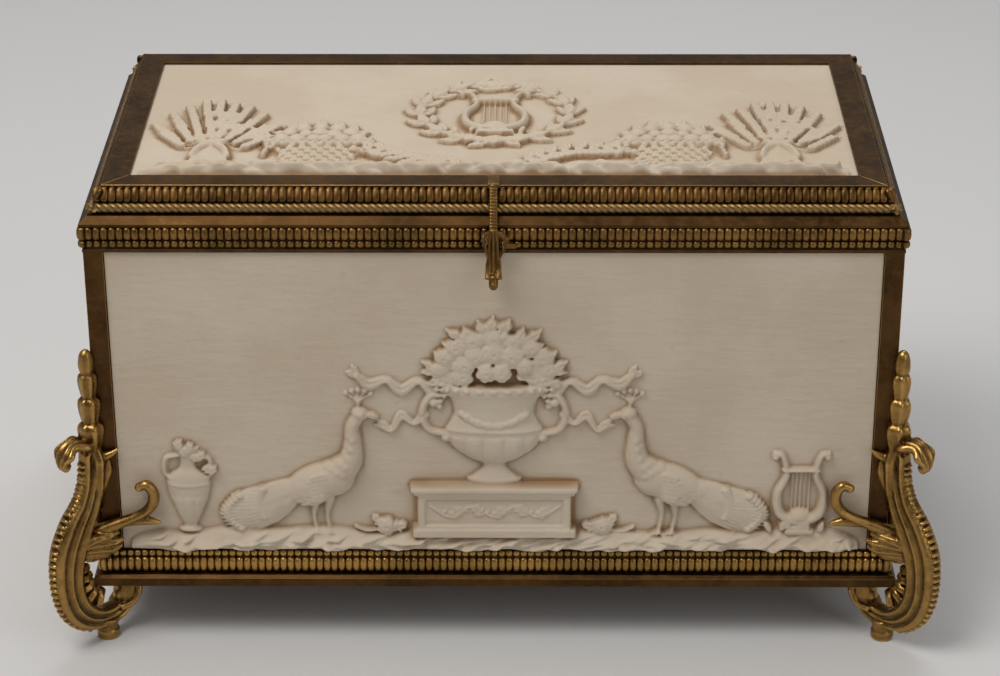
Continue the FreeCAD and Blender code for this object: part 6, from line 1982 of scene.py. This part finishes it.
def paint_hardware():
    finishes = {
        "steel": finish_of(dull_steel),
        "wood": finish_of(plain_wood),
        "gilt_frame": finish_of(aged_frame_gilt),
        "gilt_moulding": finish_of(moulding_gilt),
        "gilt_foot": finish_of(foot_gilt),
        "gilt_hasp": finish_of(hasp_bronze),
        "bisque": finish_of(bisque),
        "lining": finish_of(faded_silk),
    }
    slots = {entry["node"]: entry["material_slot"] for entry in frame["record"]["subparts"]}
    for node, item in frame["nodes"].items():
        item.data.materials.clear()
        item.data.materials.append(finishes[slots[node]])


# Stage

CAMERA_LENS = 103.4
CAMERA_DISTANCE = 1.252
CAMERA_PITCH = 26.33
CAMERA_YAW = 0.488
CAMERA_ROLL = -0.14
CAMERA_TARGET = (0.0018, 0.0, 0.101)
WORLD_STRENGTH = 0.24
FLOOR_REACH = 12.0
FLOOR_CORNERS = 64


def add_lamp(name, place, aim, power, size, colour):
    data = bpy.data.lights.new(name, "AREA")
    data.energy = power
    data.shape = "RECTANGLE"
    data.size, data.size_y = size
    data.color = colour
    lamp = stand(name, data)
    lamp.location = place
    lamp.rotation_euler = (Vector(aim) - Vector(place)).to_track_quat("-Z", "Y").to_euler()


def add_camera():
    data = bpy.data.cameras.new("photo_camera")
    data.sensor_width = 36.0
    data.lens = CAMERA_LENS
    data.clip_start = 0.05
    data.clip_end = 20.0
    camera = stand("photo_camera", data)
    pitch = math.radians(CAMERA_PITCH)
    yaw = math.radians(CAMERA_YAW)
    back = Vector((math.sin(yaw) * math.cos(pitch), -math.cos(yaw) * math.cos(pitch), math.sin(pitch)))
    camera.location = Vector(CAMERA_TARGET) + back * CAMERA_DISTANCE
    look = (-back).to_track_quat("-Z", "Y").to_matrix()
    camera.rotation_euler = (look @ Matrix.Rotation(math.radians(CAMERA_ROLL), 3, "Z")).to_euler()
    bpy.context.scene.camera = camera


def add_floor():
    """A wide round floor of pale paper."""
    turns = np.linspace(0.0, 2 * math.pi, FLOOR_CORNERS, endpoint=False)
    points = np.stack([FLOOR_REACH * np.cos(turns), FLOOR_REACH * np.sin(turns), 0 * turns], axis=1)
    mesh = mesh_from("studio_floor", points, [range(FLOOR_CORNERS)])
    floor = stand("studio_floor", mesh)
    mesh.materials.append(finish_of(studio_paper))


def set_stage():
    scene = bpy.context.scene
    scene.view_settings.view_transform = "Standard"
    world = bpy.data.worlds.new("studio")
    scene.world = world
    world.use_nodes = True
    backdrop = world.node_tree.nodes["Background"]
    backdrop.inputs["Color"].default_value = (1.0, 0.98, 0.96, 1.0)
    backdrop.inputs["Strength"].default_value = WORLD_STRENGTH
    middle = (0.0, 0.0, 0.12)
    add_lamp("key_softbox", (-0.62, -0.62, 1.5), middle, 14.0, (0.8, 0.8), (1.0, 0.97, 0.93))
    add_lamp("fill_softbox", (1.2, -1.0, 0.75), middle, 3.4, (0.8, 1.0), (0.96, 0.98, 1.0))
    add_lamp("top_softbox", (0.1, 0.55, 1.3), middle, 5.6, (1.2, 0.6), (1.0, 1.0, 1.0))
    add_floor()
    add_camera()


# Operators, panel and registration

class CASKET_OT_hardware(bpy.types.Operator):
    """Give every construction piece its finish"""

    bl_idname = "casket.hardware"
    bl_label = "Hardware finishes"

    def execute(self, context):
        paint_hardware()
        return {"FINISHED"}


class CASKET_OT_frame(bpy.types.Operator):
    """Round and wear the edges of the brass rails and posts"""

    bl_idname = "casket.frame"
    bl_label = "Brass frame"

    def execute(self, context):
        dress_frame()
        return {"FINISHED"}


class CASKET_OT_mouldings(bpy.types.Operator):
    """Set reeds and beads along the base, rim and lid"""

    bl_idname = "casket.mouldings"
    bl_label = "Reeded mouldings"

    def execute(self, context):
        dress_mouldings()
        return {"FINISHED"}


class CASKET_OT_rope(bpy.types.Operator):
    """Twist the rope moulding round the lid"""

    bl_idname = "casket.rope"
    bl_label = "Rope moulding"

    def execute(self, context):
        dress_rope()
        return {"FINISHED"}


class CASKET_OT_panels(bpy.types.Operator):
    """Model the bisque panels and their reliefs"""

    bl_idname = "casket.panels"
    bl_label = "Bisque panels"

    def execute(self, context):
        dress_panels()
        return {"FINISHED"}


class CASKET_OT_feet(bpy.types.Operator):
    """Cast the four scroll feet"""

    bl_idname = "casket.feet"
    bl_label = "Scroll feet"

    def execute(self, context):
        dress_feet()
        return {"FINISHED"}


class CASKET_OT_hasp(bpy.types.Operator):
    """Cast the hasp and round its bracket and bolt"""

    bl_idname = "casket.hasp"
    bl_label = "Hasp and bolt"

    def execute(self, context):
        dress_hasp()
        return {"FINISHED"}


class CASKET_OT_linings(bpy.types.Operator):
    """Pad the inside with tufted silk"""

    bl_idname = "casket.linings"
    bl_label = "Silk linings"

    def execute(self, context):
        dress_linings()
        return {"FINISHED"}


class CASKET_OT_stage(bpy.types.Operator):
    """Build the floor, the lamps and the camera"""

    bl_idname = "casket.stage"
    bl_label = "Studio stage"

    def execute(self, context):
        set_stage()
        return {"FINISHED"}


STEPS = ("hardware", "frame", "mouldings", "rope", "panels", "feet", "hasp", "linings", "stage")


class CASKET_PT_sidebar(bpy.types.Panel):
    """Lists the steps that dress the casket"""

    bl_idname = "CASKET_PT_sidebar"
    bl_label = "Jewelry casket"
    bl_space_type = "VIEW_3D"
    bl_region_type = "UI"
    bl_category = "Casket"

    def draw(self, context):
        for step in STEPS:
            self.layout.operator(f"casket.{step}")


CLASSES = (
    CasketSizes,
    CasketColours,
    CASKET_OT_hardware,
    CASKET_OT_frame,
    CASKET_OT_mouldings,
    CASKET_OT_rope,
    CASKET_OT_panels,
    CASKET_OT_feet,
    CASKET_OT_hasp,
    CASKET_OT_linings,
    CASKET_OT_stage,
    CASKET_PT_sidebar,
)


def register():
    for item in CLASSES:
        bpy.utils.register_class(item)
    bpy.types.Scene.casket_sizes = PointerProperty(type=CasketSizes)
    bpy.types.Scene.casket_colours = PointerProperty(type=CasketColours)


def unregister():
    del bpy.types.Scene.casket_colours
    del bpy.types.Scene.casket_sizes
    for item in reversed(CLASSES):
        bpy.utils.unregister_class(item)


def main():
    register()
    for step in STEPS:
        getattr(bpy.ops.casket, step)()


if __name__ == "__main__":
    main()
